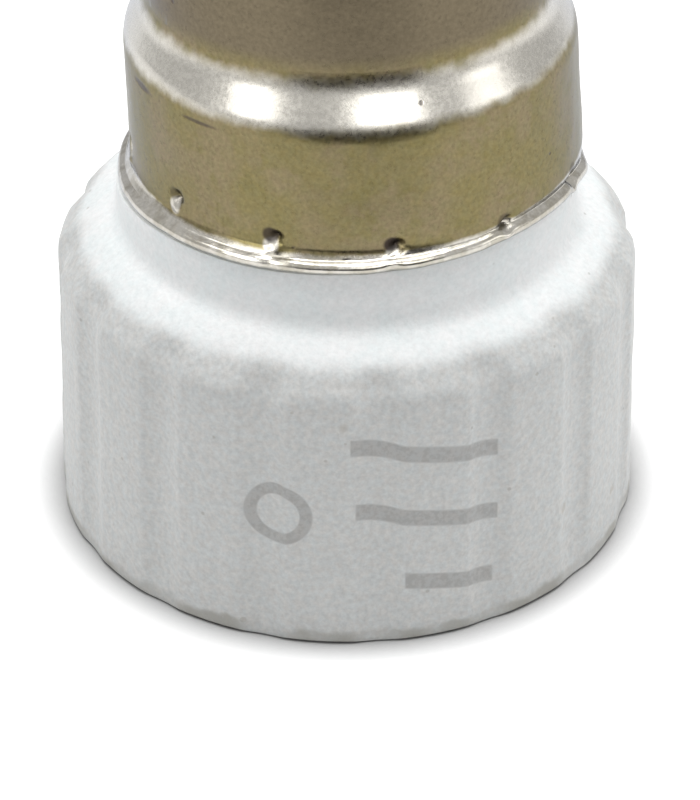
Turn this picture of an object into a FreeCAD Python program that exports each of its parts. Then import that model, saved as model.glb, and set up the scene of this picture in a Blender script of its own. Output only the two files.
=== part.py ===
import FreeCAD, Part
import math
import os
import re

import Sketcher
from FreeCAD import Placement, Rotation, Vector

# A lamp socket adapter: a fluted ceramic holder for a two-pin twist-lock lamp, under a stepped
# bayonet cap. It stands on the ceramic rim with the cap upwards. Lengths are in millimetres and
# angles in degrees. The origin is the centre of the rim's face, +Z points up, and the side that
# the photograph shows faces -Y. Heights of the cap's own pieces count from the cap's lip.

SIZES = [
    ("wall_foot_radius", 16.42, "outer radius of the ceramic wall at its rim"),
    ("wall_top_radius", 16.14, "outer radius of the wall under its shoulder"),
    ("wall_height", 15.37, "height at which the wall turns into the shoulder"),
    ("foot_round", 0.35, "rounding of the rim's outer edge"),
    ("corner_round", 1.37, "rounding from the wall into the shoulder"),
    ("corner_turn", 40, "angle that this rounding turns through"),
    ("shoulder_rise", 2.83, "rise of the shoulder above the wall"),
    ("shoulder_round", 6.9, "radius of the gently crowned shoulder"),
    ("neck_stand", 0.25, "distance that the ceramic neck stands out of the cap's skirt"),
    ("neck_fillet", 1.1, "hollow rounding at the foot of the neck"),
    ("neck_fillet_turn", 66, "angle that this rounding turns through"),
    ("neck_height", 21.93, "height of the leaning ledge under the cap's lip, at its middle"),
    ("flute_count", 16, "flutes around the wall"),
    ("flute_depth", 0.3, "depth of a flute"),
    ("flute_radius", 2.0, "radius of a flute's hollow"),
    ("flute_phase", 6.1, "angle from the +X axis to the first flute"),
    ("flute_straight", 14.5, "height at which a flute starts to curve inwards"),
    ("flute_bend", 5.0, "radius of a flute's curve into the shoulder"),
    ("flute_turn", 50, "angle of that curve"),
    ("spigot_rise", 5.5, "height of the spigot inside the cap"),
    ("spigot_play", 0.4, "gap between the spigot and the cap's skirt"),
    ("crimp_groove_width", 2.2, "height of the crimp groove"),
    ("crimp_groove_depth", 0.7, "depth of the crimp groove"),
    ("wire_bore_radius", 5.0, "bore through the neck for the wires"),
    ("face_ledge", 1.1, "width of the ledge that the socket face rests on"),
    ("ceiling_height", 15.4, "height of the contact chamber's ceiling"),
    ("face_recess", 1.3, "depth of the socket face inside the rim"),
    ("face_thickness", 3.6, "thickness of the socket face"),
    ("rim_width", 2.52, "width of the rim that the part stands on"),
    ("face_play", 0.2, "gap around the socket face"),
    ("pin_spacing", 10.0, "distance between the lamp's two pins"),
    ("keyhole_radius", 2.9, "radius of the hole that a lamp pin's head passes"),
    ("key_slot_width", 3.2, "width of the curved slot for the pin's neck"),
    ("key_turn", 25, "angle that the lamp is twisted through"),
    ("key_lip", 2.2, "thickness of the lip that a lamp pin's head hooks behind"),
    ("screw_inset", 3.2, "distance of the long screws inside the spigot's edge"),
    ("screw_radius", 1.25, "radius of a screw's shank"),
    ("screw_play", 0.2, "gap around a screw's shank in its holes"),
    ("screw_head_radius", 2.3, "radius of a screw's head"),
    ("screw_head_height", 1.4, "height of a screw's head"),
    ("screw_slot_width", 0.6, "width of the slot in a screw's head"),
    ("screw_slot_depth", 0.6, "depth of the slot in a screw's head"),
    ("screw_end", 0.8, "length of screw that stands out of its nut"),
    ("counterbore_play", 0.3, "gap around a screw's head in the socket face"),
    ("counterbore_depth", 1.7, "depth of the recess for a screw's head"),
    ("washer_radius", 2.3, "outer radius of a lock washer"),
    ("washer_thickness", 0.5, "thickness of a lock washer"),
    ("washer_gap", 0.5, "split in a lock washer"),
    ("nut_width", 5.0, "width of a nut across its flats"),
    ("nut_height", 2.0, "height of a nut"),
    ("thread_play", 0.03, "gap between a screw's shank and its nut"),
    ("carrier_drop", 3.5, "height of the chamber's ceiling above the contact carrier"),
    ("carrier_thickness", 2.2, "thickness of the contact carrier"),
    ("carrier_play", 0.2, "gap around the contact carrier"),
    ("pillar_radius", 2.7, "radius of the carrier's two pillars"),
    ("contact_thickness", 0.4, "thickness of a contact strip"),
    ("contact_width", 4.6, "width of a contact strip"),
    ("tab_inset", 2.2, "distance of a contact's upright tab inside the carrier's edge"),
    ("contact_drop", 1.7, "height of the carrier above the middle of a contact's spring arm"),
    ("contact_fold", 0.9, "middle radius of the fold between tab and arm"),
    ("toe_reach", 1.0, "distance that the arm reaches past the middle of a lamp pin"),
    ("toe_round", 1.3, "middle radius of the toe"),
    ("toe_turn", 50, "angle that the toe turns up"),
    ("tab_play", 0.2, "gap around a tab in the carrier's slot"),
    ("tab_end", 1.1, "height of a tab above its wire hole"),
    ("wire_hole_play", 0.25, "gap around a wire in its contact's hole"),
    ("wire_radius", 0.45, "radius of a bare conductor"),
    ("wire_lift", 1.6, "height of the wires above the carrier"),
    ("wire_stub", 0.9, "length of wire outside its contact's tab"),
    ("wire_spread", 2.3, "distance of a wire from the axis in the neck"),
    ("wire_bend", 1.8, "radius of a wire's bend into the neck"),
    ("wire_sweep", 8.0, "radius of a wire's bends inside the cap"),
    ("wire_rise", 4.0, "height above the spigot where a wire leans outwards"),
    ("sleeve_radius", 1.0, "outer radius of an insulating sleeve"),
    ("sleeve_play", 0.03, "gap between a wire and its sleeve"),
    ("sleeve_back", 1.2, "length of wire left bare at its contact"),
    ("cap_lean", 1.95, "angle at which the ledge, the spigot and the cap lean to -X"),
    ("cap_shift", 0.28, "shift of the cap's lip and the spigot's foot towards +X"),
    ("lip_play", 0.03, "gap between the lip and the ledge"),
    ("skirt_radius", 12.5, "outer radius of the cap's skirt"),
    ("shell_thickness", 0.3, "thickness of the cap's sheet"),
    ("lip_reach", 0.48, "distance that the rolled lip stands out of the skirt"),
    ("lip_round", 0.38, "radius of the rolled lip's section"),
    ("skirt_height", 8.1, "height of the skirt up to its sloping step"),
    ("step_rise", 1.9, "rise of the sloping step"),
    ("step_round", 0.7, "rounding above and below the sloping step"),
    ("step_width", 1.5, "width of the step from the skirt in to the barrel"),
    ("barrel_top", 23.3, "height of the barrel's crown"),
    ("crown_round", 1.0, "rounding of the barrel's crown"),
    ("crown_width", 1.6, "width of the crown around its opening"),
    ("crimp_count", 12, "crimp marks around the skirt"),
    ("crimp_phase", 10, "angle from the +X axis to the first crimp mark"),
    ("crimp_height", 1.6, "height of the crimp marks"),
    ("crimp_radius", 0.45, "radius of a crimp mark"),
    ("crimp_tip_radius", 0.12, "radius at the bottom of a crimp mark"),
    ("crimp_depth", 0.5, "depth of a crimp mark"),
    ("bayonet_pin_radius", 1.05, "radius of a bayonet pin"),
    ("pin_neck_radius", 0.8, "radius of a pin where it passes through the barrel"),
    ("bayonet_pin_stand", 2.45, "distance that a bayonet pin stands out of the barrel"),
    ("bayonet_pin_height", 19.2, "height of the bayonet pins"),
    ("pin_head_radius", 1.6, "radius of a bayonet pin's riveted head"),
    ("pin_head_thickness", 0.7, "thickness of that head inside the barrel"),
    ("glass_play", 0.05, "gap between the glass and the metal shell"),
    ("glass_foot", 21.1, "height of the underside of the glass"),
    ("glass_top", 24.4, "height of the top of the glass"),
    ("glass_taper", 0.8, "inward slope of the glass above the crown"),
    ("glass_chamfer", 0.5, "chamfer of the lower edge of the glass"),
    ("tip_spacing", 8.6, "distance between the two contact plates"),
    ("tip_radius", 2.4, "radius of a contact plate"),
    ("tip_thickness", 0.5, "thickness of a contact plate"),
    ("tip_tube_radius", 1.2, "outer radius of a contact plate's tube"),
    ("tip_bore_radius", 0.65, "bore of a contact plate's tube"),
    ("tip_tube_end", 0.6, "length of tube below the glass"),
    ("solder_radius", 1.9, "radius of a solder dome"),
    ("solder_height", 1.1, "height of a solder dome"),
    ("solder_depth", 0.8, "depth of the solder in a contact plate's tube"),
    ("solder_play", 0.02, "gap between the solder and the tube's bore"),
    ("wire_end_gap", 0.3, "gap between a wire's end and the solder in its tube"),
]

# Places and sizes that follow from the ones above, each by its rule.
DERIVED = [
    ("rim_bore", "wall_foot_radius - rim_width", "bore of the rim"),
    ("face_radius", "rim_bore - face_play", "radius of the socket face"),
    ("face_top", "face_recess + face_thickness", "height of the socket face's inner side"),
    ("chamber_radius", "face_radius - face_ledge", "radius of the contact chamber"),
    ("counterbore_top", "face_recess + counterbore_depth", "height that the screw heads bear on"),
    ("spigot_radius", "skirt_radius - shell_thickness - spigot_play", "radius of the spigot"),
    ("spigot_top", "neck_height + spigot_rise", "height of the spigot's top"),
    ("neck_radius", "skirt_radius + neck_stand", "outer radius of the ceramic neck"),
    ("screw_offset", "min(spigot_radius - screw_inset; chamber_radius - pillar_radius - carrier_play)",
     "distance of a long screw from the axis, inside both the spigot and the chamber"),
    ("screw_hole_radius", "screw_radius + screw_play", "radius of the long screws' holes"),
    ("carrier_top", "ceiling_height - carrier_drop", "height of the carrier's upper side"),
    ("carrier_height", "carrier_top - carrier_thickness", "height of the carrier's underside"),
    ("contact_root", "chamber_radius - carrier_play - tab_inset", "distance of a tab from the axis"),
    ("contact_height", "carrier_height - contact_drop", "height of a contact's spring arm"),
    ("contact_toe", "pin_spacing / 2 - toe_reach", "distance of a contact's toe from the axis"),
    ("wire_height", "carrier_top + wire_lift", "height of the wires in the chamber"),
    ("lip_radius", "skirt_radius + lip_reach", "outer radius of the cap's rolled lip"),
    ("cap_height", "neck_height + lip_play", "height of the cap's lip at its middle"),
    ("barrel_radius", "skirt_radius - step_width", "outer radius of the cap's barrel"),
    ("crown_opening", "barrel_radius - crown_width", "radius of the opening in the crown"),
    ("bayonet_pin_reach", "barrel_radius + bayonet_pin_stand", "distance of a pin's end from the axis"),
    ("tip_top", "glass_top + tip_thickness", "height of a contact plate's top"),
]

doc = FreeCAD.newDocument("socket_adapter")
sheet = doc.addObject("Spreadsheet::Sheet", "Sizes")
rows = [(alias, str(number), meaning) for alias, number, meaning in SIZES]
rows += [(alias, "=" + rule, meaning) for alias, rule, meaning in DERIVED]
for row, (alias, content, meaning) in enumerate(rows, start=1):
    sheet.set(f"A{row}", meaning)
    sheet.setAlias(f"B{row}", alias)
    sheet.set(f"B{row}", content)
doc.recompute()


def formula(text):
    """Point every word with an underscore in a formula at the cell of that name."""
    return re.sub(r"[a-z]+(?:_[a-z]+)+", lambda word: "Sizes." + word.group(0), text)


def value(text):
    """Work out a formula as a plain number."""
    result = sheet.evalExpression(formula(text))
    return float(getattr(result, "Value", result))


def new_body(label):
    body = doc.addObject("PartDesign::Body", label)
    body.Label = label
    body.AllowCompound = True
    return body


def origin_feature(body, role):
    return next(item for item in body.Origin.OriginFeatures if item.Role == role)


def new_sketch(body, name, role, shift=None, turn=None):
    """Start a sketch on an origin plane, moved and turned by formulas in its own axes."""
    sketch = body.newObject("Sketcher::SketchObject", name)
    sketch.AttachmentSupport = [(origin_feature(body, role), "")]
    sketch.MapMode = "FlatFace"
    if turn:
        turn_axis, angle = turn
        sketch.AttachmentOffset = Placement(Vector(), Rotation(turn_axis, value(angle)))
        sketch.setExpression("AttachmentOffset.Rotation.Angle", formula(angle))
    for axis, distance in (shift or {}).items():
        sketch.setExpression(f"AttachmentOffset.Base.{axis}", formula(distance))
    return sketch


def pin_point(sketch, geometry, point, x, y):
    """Fix a point of a sketch at the place that two formulas give."""
    for kind, text in (("DistanceX", x), ("DistanceY", y)):
        index = sketch.addConstraint(
            Sketcher.Constraint(kind, -1, 1, geometry, point, value(text)))
        name = f"p{geometry}_{point}_{kind[-1]}"
        sketch.renameConstraint(index, name)
        sketch.setExpression(f"Constraints.{name}", formula(text))


def set_radius(sketch, geometry, radius):
    index = sketch.addConstraint(Sketcher.Constraint("Radius", geometry, value(radius)))
    name = f"r{geometry}"
    sketch.renameConstraint(index, name)
    sketch.setExpression(f"Constraints.{name}", formula(radius))


def draw_chain(sketch, corners, closed=True):
    """Draw edges from corner to corner. A corner is (x, y), or (x, y, radius, centre x,
    centre y) where the edge that leaves it is the shorter arc about that centre."""
    count = len(corners)
    edges = count if closed else count - 1
    ends = []
    for number in range(edges):
        start = corners[number]
        finish = corners[(number + 1) % count]
        first = Vector(value(start[0]), value(start[1]), 0)
        second = Vector(value(finish[0]), value(finish[1]), 0)
        if len(start) == 2:
            sketch.addGeometry(Part.LineSegment(first, second), False)
            ends.append((1, 2))
            continue
        radius, centre_x, centre_y = start[2:]
        centre = Vector(value(centre_x), value(centre_y), 0)
        circle = Part.Circle(centre, Vector(0, 0, 1), value(radius))
        angle_1 = math.atan2(first.y - centre.y, first.x - centre.x)
        angle_2 = math.atan2(second.y - centre.y, second.x - centre.x)
        leftwards = (first - centre).cross(second - centre).z > 0
        if not leftwards:
            angle_1, angle_2 = angle_2, angle_1
        if angle_2 < angle_1:
            angle_2 += 2 * math.pi
        sketch.addGeometry(Part.ArcOfCircle(circle, angle_1, angle_2), False)
        ends.append((1, 2) if leftwards else (2, 1))
    for number in range(edges if closed else edges - 1):
        following = (number + 1) % edges
        sketch.addConstraint(Sketcher.Constraint(
            "Coincident", number, ends[number][1], following, ends[following][0]))
    for number in range(edges):
        start = corners[number]
        pin_point(sketch, number, ends[number][0], start[0], start[1])
        if len(start) > 2:
            set_radius(sketch, number, start[2])
    if not closed:
        pin_point(sketch, edges - 1, ends[-1][1], corners[-1][0], corners[-1][1])


def draw_circle(sketch, x, y, radius):
    circle = Part.Circle(Vector(value(x), value(y), 0), Vector(0, 0, 1), value(radius))
    geometry = sketch.addGeometry(circle, False)
    pin_point(sketch, geometry, 3, x, y)
    set_radius(sketch, geometry, radius)


def revolve(body, name, sketch, kind="Revolution", axis="V_Axis"):
    feature = body.newObject(f"PartDesign::{kind}", name)
    feature.Profile = sketch
    feature.ReferenceAxis = (sketch, [axis])
    feature.Angle = 360
    return feature


def pad(body, name, sketch, length, symmetric=False):
    feature = body.newObject("PartDesign::Pad", name)
    feature.Profile = sketch
    feature.Type = "Length"
    if symmetric:
        feature.SideType = "Symmetric"
    feature.setExpression("Length", formula(length))
    return feature


def pocket_up(body, name, sketch, length):
    """Cut from a level sketch upwards."""
    feature = body.newObject("PartDesign::Pocket", name)
    feature.Profile = sketch
    feature.Type = "Length"
    feature.Reversed = True
    feature.setExpression("Length", formula(length))
    return feature


def pattern(body, name, originals, count):
    feature = body.newObject("PartDesign::PolarPattern", name)
    feature.Originals = originals
    feature.Axis = (origin_feature(body, "Z_Axis"), [""])
    feature.Angle = 360
    feature.setExpression("Occurrences", formula(count))
    body.Tip = feature
    return feature


def seat_on_cap(body):
    """Put a piece that is drawn in the cap's own frame where the leaning cap is."""
    body.Placement = Placement(Vector(), Rotation(Vector(0, 1, 0), -value("cap_lean")))
    body.setExpression("Placement.Base.x", formula("cap_shift"))
    body.setExpression("Placement.Base.z", formula("cap_height"))
    body.setExpression("Placement.Rotation.Angle", formula("-cap_lean"))


def screw_holes(body, name, bottom, length, radius):
    """Cut the two holes of the long screws upwards from a height."""
    sketch = new_sketch(body, f"{name}_sketch", "XY_Plane", {"z": bottom})
    draw_circle(sketch, "0", "screw_offset", radius)
    draw_circle(sketch, "0", "-screw_offset", radius)
    return pocket_up(body, name, sketch, length)


def make_housing():
    """The fluted ceramic housing: wall, shoulder, neck, spigot and contact chamber."""
    body = new_body("housing_body")
    corner_x = "(wall_top_radius - corner_round * (1 - cos(corner_turn)))"
    corner_z = "(wall_height + corner_round * sin(corner_turn))"
    shoulder_x = "(neck_radius + neck_fillet * (1 - cos(neck_fillet_turn)))"
    shoulder_z = "(wall_height + shoulder_rise)"
    neck_foot = f"({shoulder_z} + neck_fillet * sin(neck_fillet_turn))"
    blank_top = "(neck_height + lip_radius * sin(cap_lean))"
    section = new_sketch(body, "housing_section", "XZ_Plane")
    draw_chain(section, [
        ("rim_bore", "0"),
        ("wall_foot_radius - foot_round", "0",
         "foot_round", "wall_foot_radius - foot_round", "foot_round"),
        ("wall_foot_radius", "foot_round"),
        ("wall_top_radius", "wall_height",
         "corner_round", "wall_top_radius - corner_round", "wall_height"),
        (corner_x, corner_z, "shoulder_round",
         f"{corner_x} - shoulder_round * cos(corner_turn)",
         f"{corner_z} - shoulder_round * sin(corner_turn)"),
        (shoulder_x, shoulder_z, "neck_fillet", "neck_radius + neck_fillet", neck_foot),
        ("neck_radius", neck_foot),
        ("neck_radius", blank_top),
        ("wire_bore_radius", blank_top),
        ("wire_bore_radius", "ceiling_height"),
        ("chamber_radius", "ceiling_height"),
        ("chamber_radius", "face_top"),
        ("rim_bore", "face_top"),
    ])
    revolve(body, "housing_wall", section)
    add_spigot(body)
    screw_holes(body, "housing_screw_holes", "ceiling_height - 1",
                "spigot_top - ceiling_height + 2", "screw_hole_radius")
    doc.recompute()
    cut_flutes(body)
    return body


def add_spigot(body):
    """The leaning ledge and spigot that the cap is crimped onto, with a level top."""
    lean = {"shift": {"x": "cap_shift", "y": "cap_height"}, "turn": (Vector(0, 0, 1), "cap_lean")}
    clear = "(2 * neck_radius)"
    ledge = new_sketch(body, "ledge_section", "XZ_Plane", **lean)
    draw_chain(ledge, [
        ("0", "-lip_play"), (clear, "-lip_play"), (clear, "spigot_rise"), ("0", "spigot_rise")])
    revolve(body, "ledge", ledge, kind="Groove")
    groove_low = "(crimp_height - crimp_groove_width / 2)"
    groove_high = "(crimp_height + crimp_groove_width / 2)"
    groove_radius = "(spigot_radius - crimp_groove_depth)"
    foot = "-(neck_height - ceiling_height) / 2"
    spigot = new_sketch(body, "spigot_section", "XZ_Plane", **lean)
    draw_chain(spigot, [
        ("0", foot),
        ("spigot_radius", foot),
        ("spigot_radius", groove_low),
        (groove_radius, groove_low),
        (groove_radius, groove_high),
        ("spigot_radius", groove_high),
        ("spigot_radius", "spigot_rise + 1"),
        ("0", "spigot_rise + 1"),
    ])
    revolve(body, "spigot", spigot)
    top = new_sketch(body, "spigot_top_outline", "XY_Plane", {"z": "spigot_top"})
    draw_circle(top, "0", "0", clear)
    pocket_up(body, "spigot_top", top, "spigot_rise")
    bore = new_sketch(body, "wire_bore_outline", "XY_Plane", {"z": "ceiling_height - 1"})
    draw_circle(bore, "0", "0", "wire_bore_radius")
    pocket_up(body, "wire_bore", bore, "spigot_top - ceiling_height + 2")


def cut_flutes(body):
    """Cut the flutes: round hollows that follow the wall and curve into the shoulder."""
    draft = "atan((wall_foot_radius - wall_top_radius) / wall_height)"
    below = "2 * foot_round"
    foot_x = f"(wall_foot_radius + flute_radius - flute_depth + {below} * tan({draft}))"
    bend_x = f"({foot_x} - (flute_straight + {below}) * tan({draft}))"
    centre_x = f"({bend_x} - flute_bend * cos({draft}))"
    centre_z = f"(flute_straight - flute_bend * sin({draft}))"
    turned = f"({draft} + flute_turn * 1 deg)"
    upright = Vector(0, 1, 0)
    path = new_sketch(body, "flute_path", "XZ_Plane", turn=(upright, "flute_phase"))
    draw_chain(path, [
        (foot_x, f"-{below}"),
        (bend_x, "flute_straight", "flute_bend", centre_x, centre_z),
        (f"{centre_x} + flute_bend * cos({turned})",
         f"{centre_z} + flute_bend * sin({turned})"),
    ], closed=False)
    hollow = new_sketch(body, "flute_section", "XY_Plane", {"z": f"-{below}"})
    draw_circle(hollow, f"{foot_x} * cos(flute_phase)", f"{foot_x} * sin(flute_phase)",
                "flute_radius")
    flute = body.newObject("PartDesign::SubtractivePipe", "flute")
    flute.Profile = hollow
    flute.Spine = path
    doc.recompute()
    pattern(body, "flutes", [flute], "flute_count")


def draw_key_slot(sketch, half_width):
    """Draw the curved slot that a lamp pin's neck turns along."""
    middle = "(pin_spacing / 2)"
    outer = f"({middle} + {half_width})"
    inner = f"({middle} - {half_width})"
    cosine = "cos(key_turn)"
    sine = "sin(key_turn)"
    end_x = f"({middle} * {cosine})"
    end_y = f"({middle} * {sine})"
    draw_chain(sketch, [
        (outer, "0", outer, "0", "0"),
        (f"{outer} * {cosine}", f"{outer} * {sine}", half_width, end_x, end_y),
        (f"{end_x} - {half_width} * {sine}", f"{end_y} + {half_width} * {cosine}",
         half_width, end_x, end_y),
        (f"{inner} * {cosine}", f"{inner} * {sine}", inner, "0", "0"),
        (inner, "0"),
    ])


def make_socket_face():
    """The ceramic plate with two keyholes that closes the contact chamber."""
    body = new_body("socket_face")
    disc = new_sketch(body, "face_disc", "XY_Plane", {"z": "face_recess"})
    draw_circle(disc, "0", "0", "face_radius")
    pad(body, "face_plate", disc, "face_thickness")
    screw_holes(body, "face_screw_holes", "face_recess - 1", "face_thickness + 2",
                "screw_hole_radius")
    screw_holes(body, "face_counterbores", "face_recess - 1", "counterbore_depth + 1",
                "screw_head_radius + counterbore_play")
    entry = new_sketch(body, "keyhole_entry", "XY_Plane", {"z": "face_recess - 1"})
    draw_circle(entry, "pin_spacing / 2", "0", "keyhole_radius")
    hole = pocket_up(body, "keyhole", entry, "face_thickness + 2")
    curve = new_sketch(body, "key_slot_outline", "XY_Plane", {"z": "face_recess - 1"})
    draw_key_slot(curve, "(key_slot_width / 2)")
    slot = pocket_up(body, "key_slot", curve, "face_thickness + 2")
    behind = new_sketch(body, "key_channel_outline", "XY_Plane", {"z": "face_recess + key_lip"})
    draw_key_slot(behind, "keyhole_radius")
    channel = pocket_up(body, "key_channel", behind, "face_thickness")
    doc.recompute()
    pattern(body, "keyholes", [hole, slot, channel], "2")
    return body


def make_carrier():
    """The ceramic plate that carries the two contacts on a pair of pillars."""
    body = new_body("contact_carrier")
    disc = new_sketch(body, "carrier_disc", "XY_Plane", {"z": "carrier_height"})
    draw_circle(disc, "0", "0", "chamber_radius - carrier_play")
    pad(body, "carrier_plate", disc, "carrier_thickness")
    feet = new_sketch(body, "carrier_feet", "XY_Plane", {"z": "face_top"})
    draw_circle(feet, "0", "screw_offset", "pillar_radius")
    draw_circle(feet, "0", "-screw_offset", "pillar_radius")
    pad(body, "carrier_pillars", feet, "ceiling_height - face_top")
    screw_holes(body, "carrier_screw_holes", "face_top - 1",
                "ceiling_height - face_top + 2", "screw_hole_radius")
    opening = new_sketch(body, "tab_opening", "XY_Plane", {"z": "carrier_height - 1"})
    low = "(contact_root - contact_thickness / 2 - tab_play)"
    high = "(contact_root + contact_thickness / 2 + tab_play)"
    side = "(contact_width / 2 + tab_play)"
    draw_chain(opening, [(low, f"-{side}"), (high, f"-{side}"), (high, side), (low, side)])
    slot = pocket_up(body, "tab_slot", opening, "carrier_thickness + 2")
    doc.recompute()
    pattern(body, "tab_slots", [slot], "2")
    return body


def make_contact(label, side):
    """A contact: an upright tab folded into a level spring arm with an upturned toe."""
    body = new_body(label)
    half = "(contact_thickness / 2)"
    fold_x = "(contact_root - contact_fold)"
    fold_z = "(contact_height + contact_fold)"
    toe_z = "(contact_height + toe_round)"
    top = "(wire_height + tab_end)"
    outline = [
        (f"contact_root + {half}", top),
        (f"contact_root + {half}", fold_z, f"contact_fold + {half}", fold_x, fold_z),
        (fold_x, f"contact_height - {half}"),
        ("contact_toe", f"contact_height - {half}",
         f"toe_round + {half}", "contact_toe", toe_z),
        (f"contact_toe - (toe_round + {half}) * sin(toe_turn)",
         f"{toe_z} - (toe_round + {half}) * cos(toe_turn)"),
        (f"contact_toe - (toe_round - {half}) * sin(toe_turn)",
         f"{toe_z} - (toe_round - {half}) * cos(toe_turn)",
         f"toe_round - {half}", "contact_toe", toe_z),
        ("contact_toe", f"contact_height + {half}"),
        (fold_x, f"contact_height + {half}", f"contact_fold - {half}", fold_x, fold_z),
        (f"contact_root - {half}", fold_z),
        (f"contact_root - {half}", top),
    ]
    corners = [mirror_corner(corner, side) for corner in outline]
    strip = new_sketch(body, f"{label}_outline", "XZ_Plane")
    draw_chain(strip, corners)
    pad(body, f"{label}_strip", strip, "contact_width", symmetric=True)
    eye = new_sketch(body, f"{label}_eye", "YZ_Plane",
                     {"z": f"{side} * (contact_root - contact_thickness)"})
    draw_circle(eye, "0", "wire_height", "wire_radius + wire_hole_play")
    hole = body.newObject("PartDesign::Pocket", f"{label}_wire_hole")
    hole.Profile = eye
    hole.Type = "Length"
    hole.Reversed = side > 0
    hole.setExpression("Length", formula("2 * contact_thickness"))
    body.Tip = hole
    return body


def mirror_corner(corner, side):
    """Turn a corner's x and its arc centre's x to one side of the axis."""
    if side > 0:
        return corner
    mirrored = (f"-({corner[0]})", corner[1])
    if len(corner) > 2:
        mirrored += (corner[2], f"-({corner[3]})", corner[4])
    return mirrored


def make_screws():
    """The two long screws from the socket face up through the spigot."""
    body = new_body("face_screws")
    head_foot = "(counterbore_top - screw_head_height)"
    end = "(spigot_top + washer_thickness + nut_height + screw_end)"
    section = new_sketch(body, "screw_section", "YZ_Plane", {"x": "screw_offset"})
    draw_chain(section, [
        ("0", head_foot),
        ("screw_head_radius", head_foot),
        ("screw_head_radius", "counterbore_top"),
        ("screw_radius", "counterbore_top"),
        ("screw_radius", f"{end} - screw_radius / 4"),
        ("screw_radius * 3 / 4", end),
        ("0", end),
    ])
    screw = revolve(body, "screw", section)
    cut = new_sketch(body, "screw_slot_outline", "XY_Plane", {"z": f"{head_foot} - 1"})
    side = "(screw_slot_width / 2)"
    near = "(screw_offset - screw_head_radius - 1)"
    far = "(screw_offset + screw_head_radius + 1)"
    draw_chain(cut, [(f"-{side}", near), (side, near), (side, far), (f"-{side}", far)])
    slot = pocket_up(body, "screw_slot", cut, "screw_slot_depth + 1")
    doc.recompute()
    pattern(body, "screws", [screw, slot], "2")
    return body


def make_washers():
    """The split lock washers under the nuts."""
    body = new_body("lock_washers")
    ring = new_sketch(body, "washer_ring", "XY_Plane", {"z": "spigot_top"})
    draw_circle(ring, "0", "screw_offset", "washer_radius")
    draw_circle(ring, "0", "screw_offset", "screw_radius + thread_play")
    washer = pad(body, "washer", ring, "washer_thickness")
    split = new_sketch(body, "washer_split", "XY_Plane", {"z": "spigot_top - 1"})
    side = "(washer_gap / 2)"
    far = "(screw_offset + washer_radius + 1)"
    draw_chain(split, [(f"-{side}", "screw_offset"), (side, "screw_offset"), (side, far), (f"-{side}", far)])
    gap = pocket_up(body, "washer_opening", split, "washer_thickness + 2")
    doc.recompute()
    pattern(body, "washers", [washer, gap], "2")
    return body


def make_nuts():
    """The hexagonal nuts on top of the spigot."""
    body = new_body("screw_nuts")
    outline = new_sketch(body, "nut_outline", "XY_Plane",
                         {"z": "spigot_top + washer_thickness"})
    corner = "(nut_width / sqrt(3))"
    draw_chain(outline, [
        (f"{corner} * cos({angle})", f"screw_offset + {corner} * sin({angle})")
        for angle in range(0, 360, 60)
    ])
    draw_circle(outline, "0", "screw_offset", "screw_radius + thread_play")
    nut = pad(body, "nut", outline, "nut_height")
    doc.recompute()
    pattern(body, "nuts", [nut], "2")
    return body


def make_cap_shell():
    """The drawn metal cap: rolled lip, skirt, sloping step, barrel and turned-in crown."""
    body = new_body("cap_shell")
    seat_on_cap(body)
    section = new_sketch(body, "shell_section", "XZ_Plane")
    draw_chain(section, shell_outline())
    revolve(body, "shell", section)
    doc.recompute()
    stamp_crimps(body)
    bore = new_sketch(body, "pin_hole_outline", "XZ_Plane")
    draw_circle(bore, "0", "bayonet_pin_height", "pin_neck_radius")
    hole = body.newObject("PartDesign::Pocket", "pin_holes")
    hole.Profile = bore
    hole.Type = "Length"
    hole.SideType = "Symmetric"
    hole.setExpression("Length", formula("4 * barrel_radius"))
    body.Tip = hole
    return body


def shell_outline():
    """The section of the cap's sheet, up its outer face and down its inner face."""
    bead_x = "(lip_radius - lip_round)"
    inner_skirt = "(skirt_radius - shell_thickness)"
    inner_barrel = "(barrel_radius - shell_thickness)"
    crown_z = "(barrel_top - crown_round)"
    crown_x = "(barrel_radius - crown_round)"
    turn = "atan((skirt_radius - barrel_radius) / step_rise)"
    low_x = "(skirt_radius - step_round)"
    low_z = f"(skirt_height - step_round * tan({turn} / 2))"
    high_x = "(barrel_radius + step_round)"
    high_z = f"(skirt_height + step_rise + step_round * tan({turn} / 2))"
    inner_low = "(step_round - shell_thickness)"
    inner_high = "(step_round + shell_thickness)"
    return [
        (inner_skirt, "0"),
        (bead_x, "0", "lip_round", bead_x, "lip_round"),
        ("lip_radius", "lip_round", "lip_round", bead_x, "lip_round"),
        (bead_x, "2 * lip_round"),
        ("skirt_radius", f"2 * lip_round + {bead_x} - skirt_radius"),
        ("skirt_radius", low_z, "step_round", low_x, low_z),
        (f"{low_x} + step_round * cos({turn})", f"{low_z} + step_round * sin({turn})"),
        (f"{high_x} - step_round * cos({turn})", f"{high_z} - step_round * sin({turn})",
         "step_round", high_x, high_z),
        ("barrel_radius", high_z),
        ("barrel_radius", crown_z, "crown_round", crown_x, crown_z),
        (crown_x, "barrel_top"),
        ("crown_opening", "barrel_top"),
        ("crown_opening", "barrel_top - shell_thickness"),
        (crown_x, "barrel_top - shell_thickness",
         "crown_round - shell_thickness", crown_x, crown_z),
        (inner_barrel, crown_z),
        (inner_barrel, high_z, inner_high, high_x, high_z),
        (f"{high_x} - {inner_high} * cos({turn})", f"{high_z} - {inner_high} * sin({turn})"),
        (f"{low_x} + {inner_low} * cos({turn})", f"{low_z} + {inner_low} * sin({turn})",
         inner_low, low_x, low_z),
        (inner_skirt, low_z),
    ]


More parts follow.
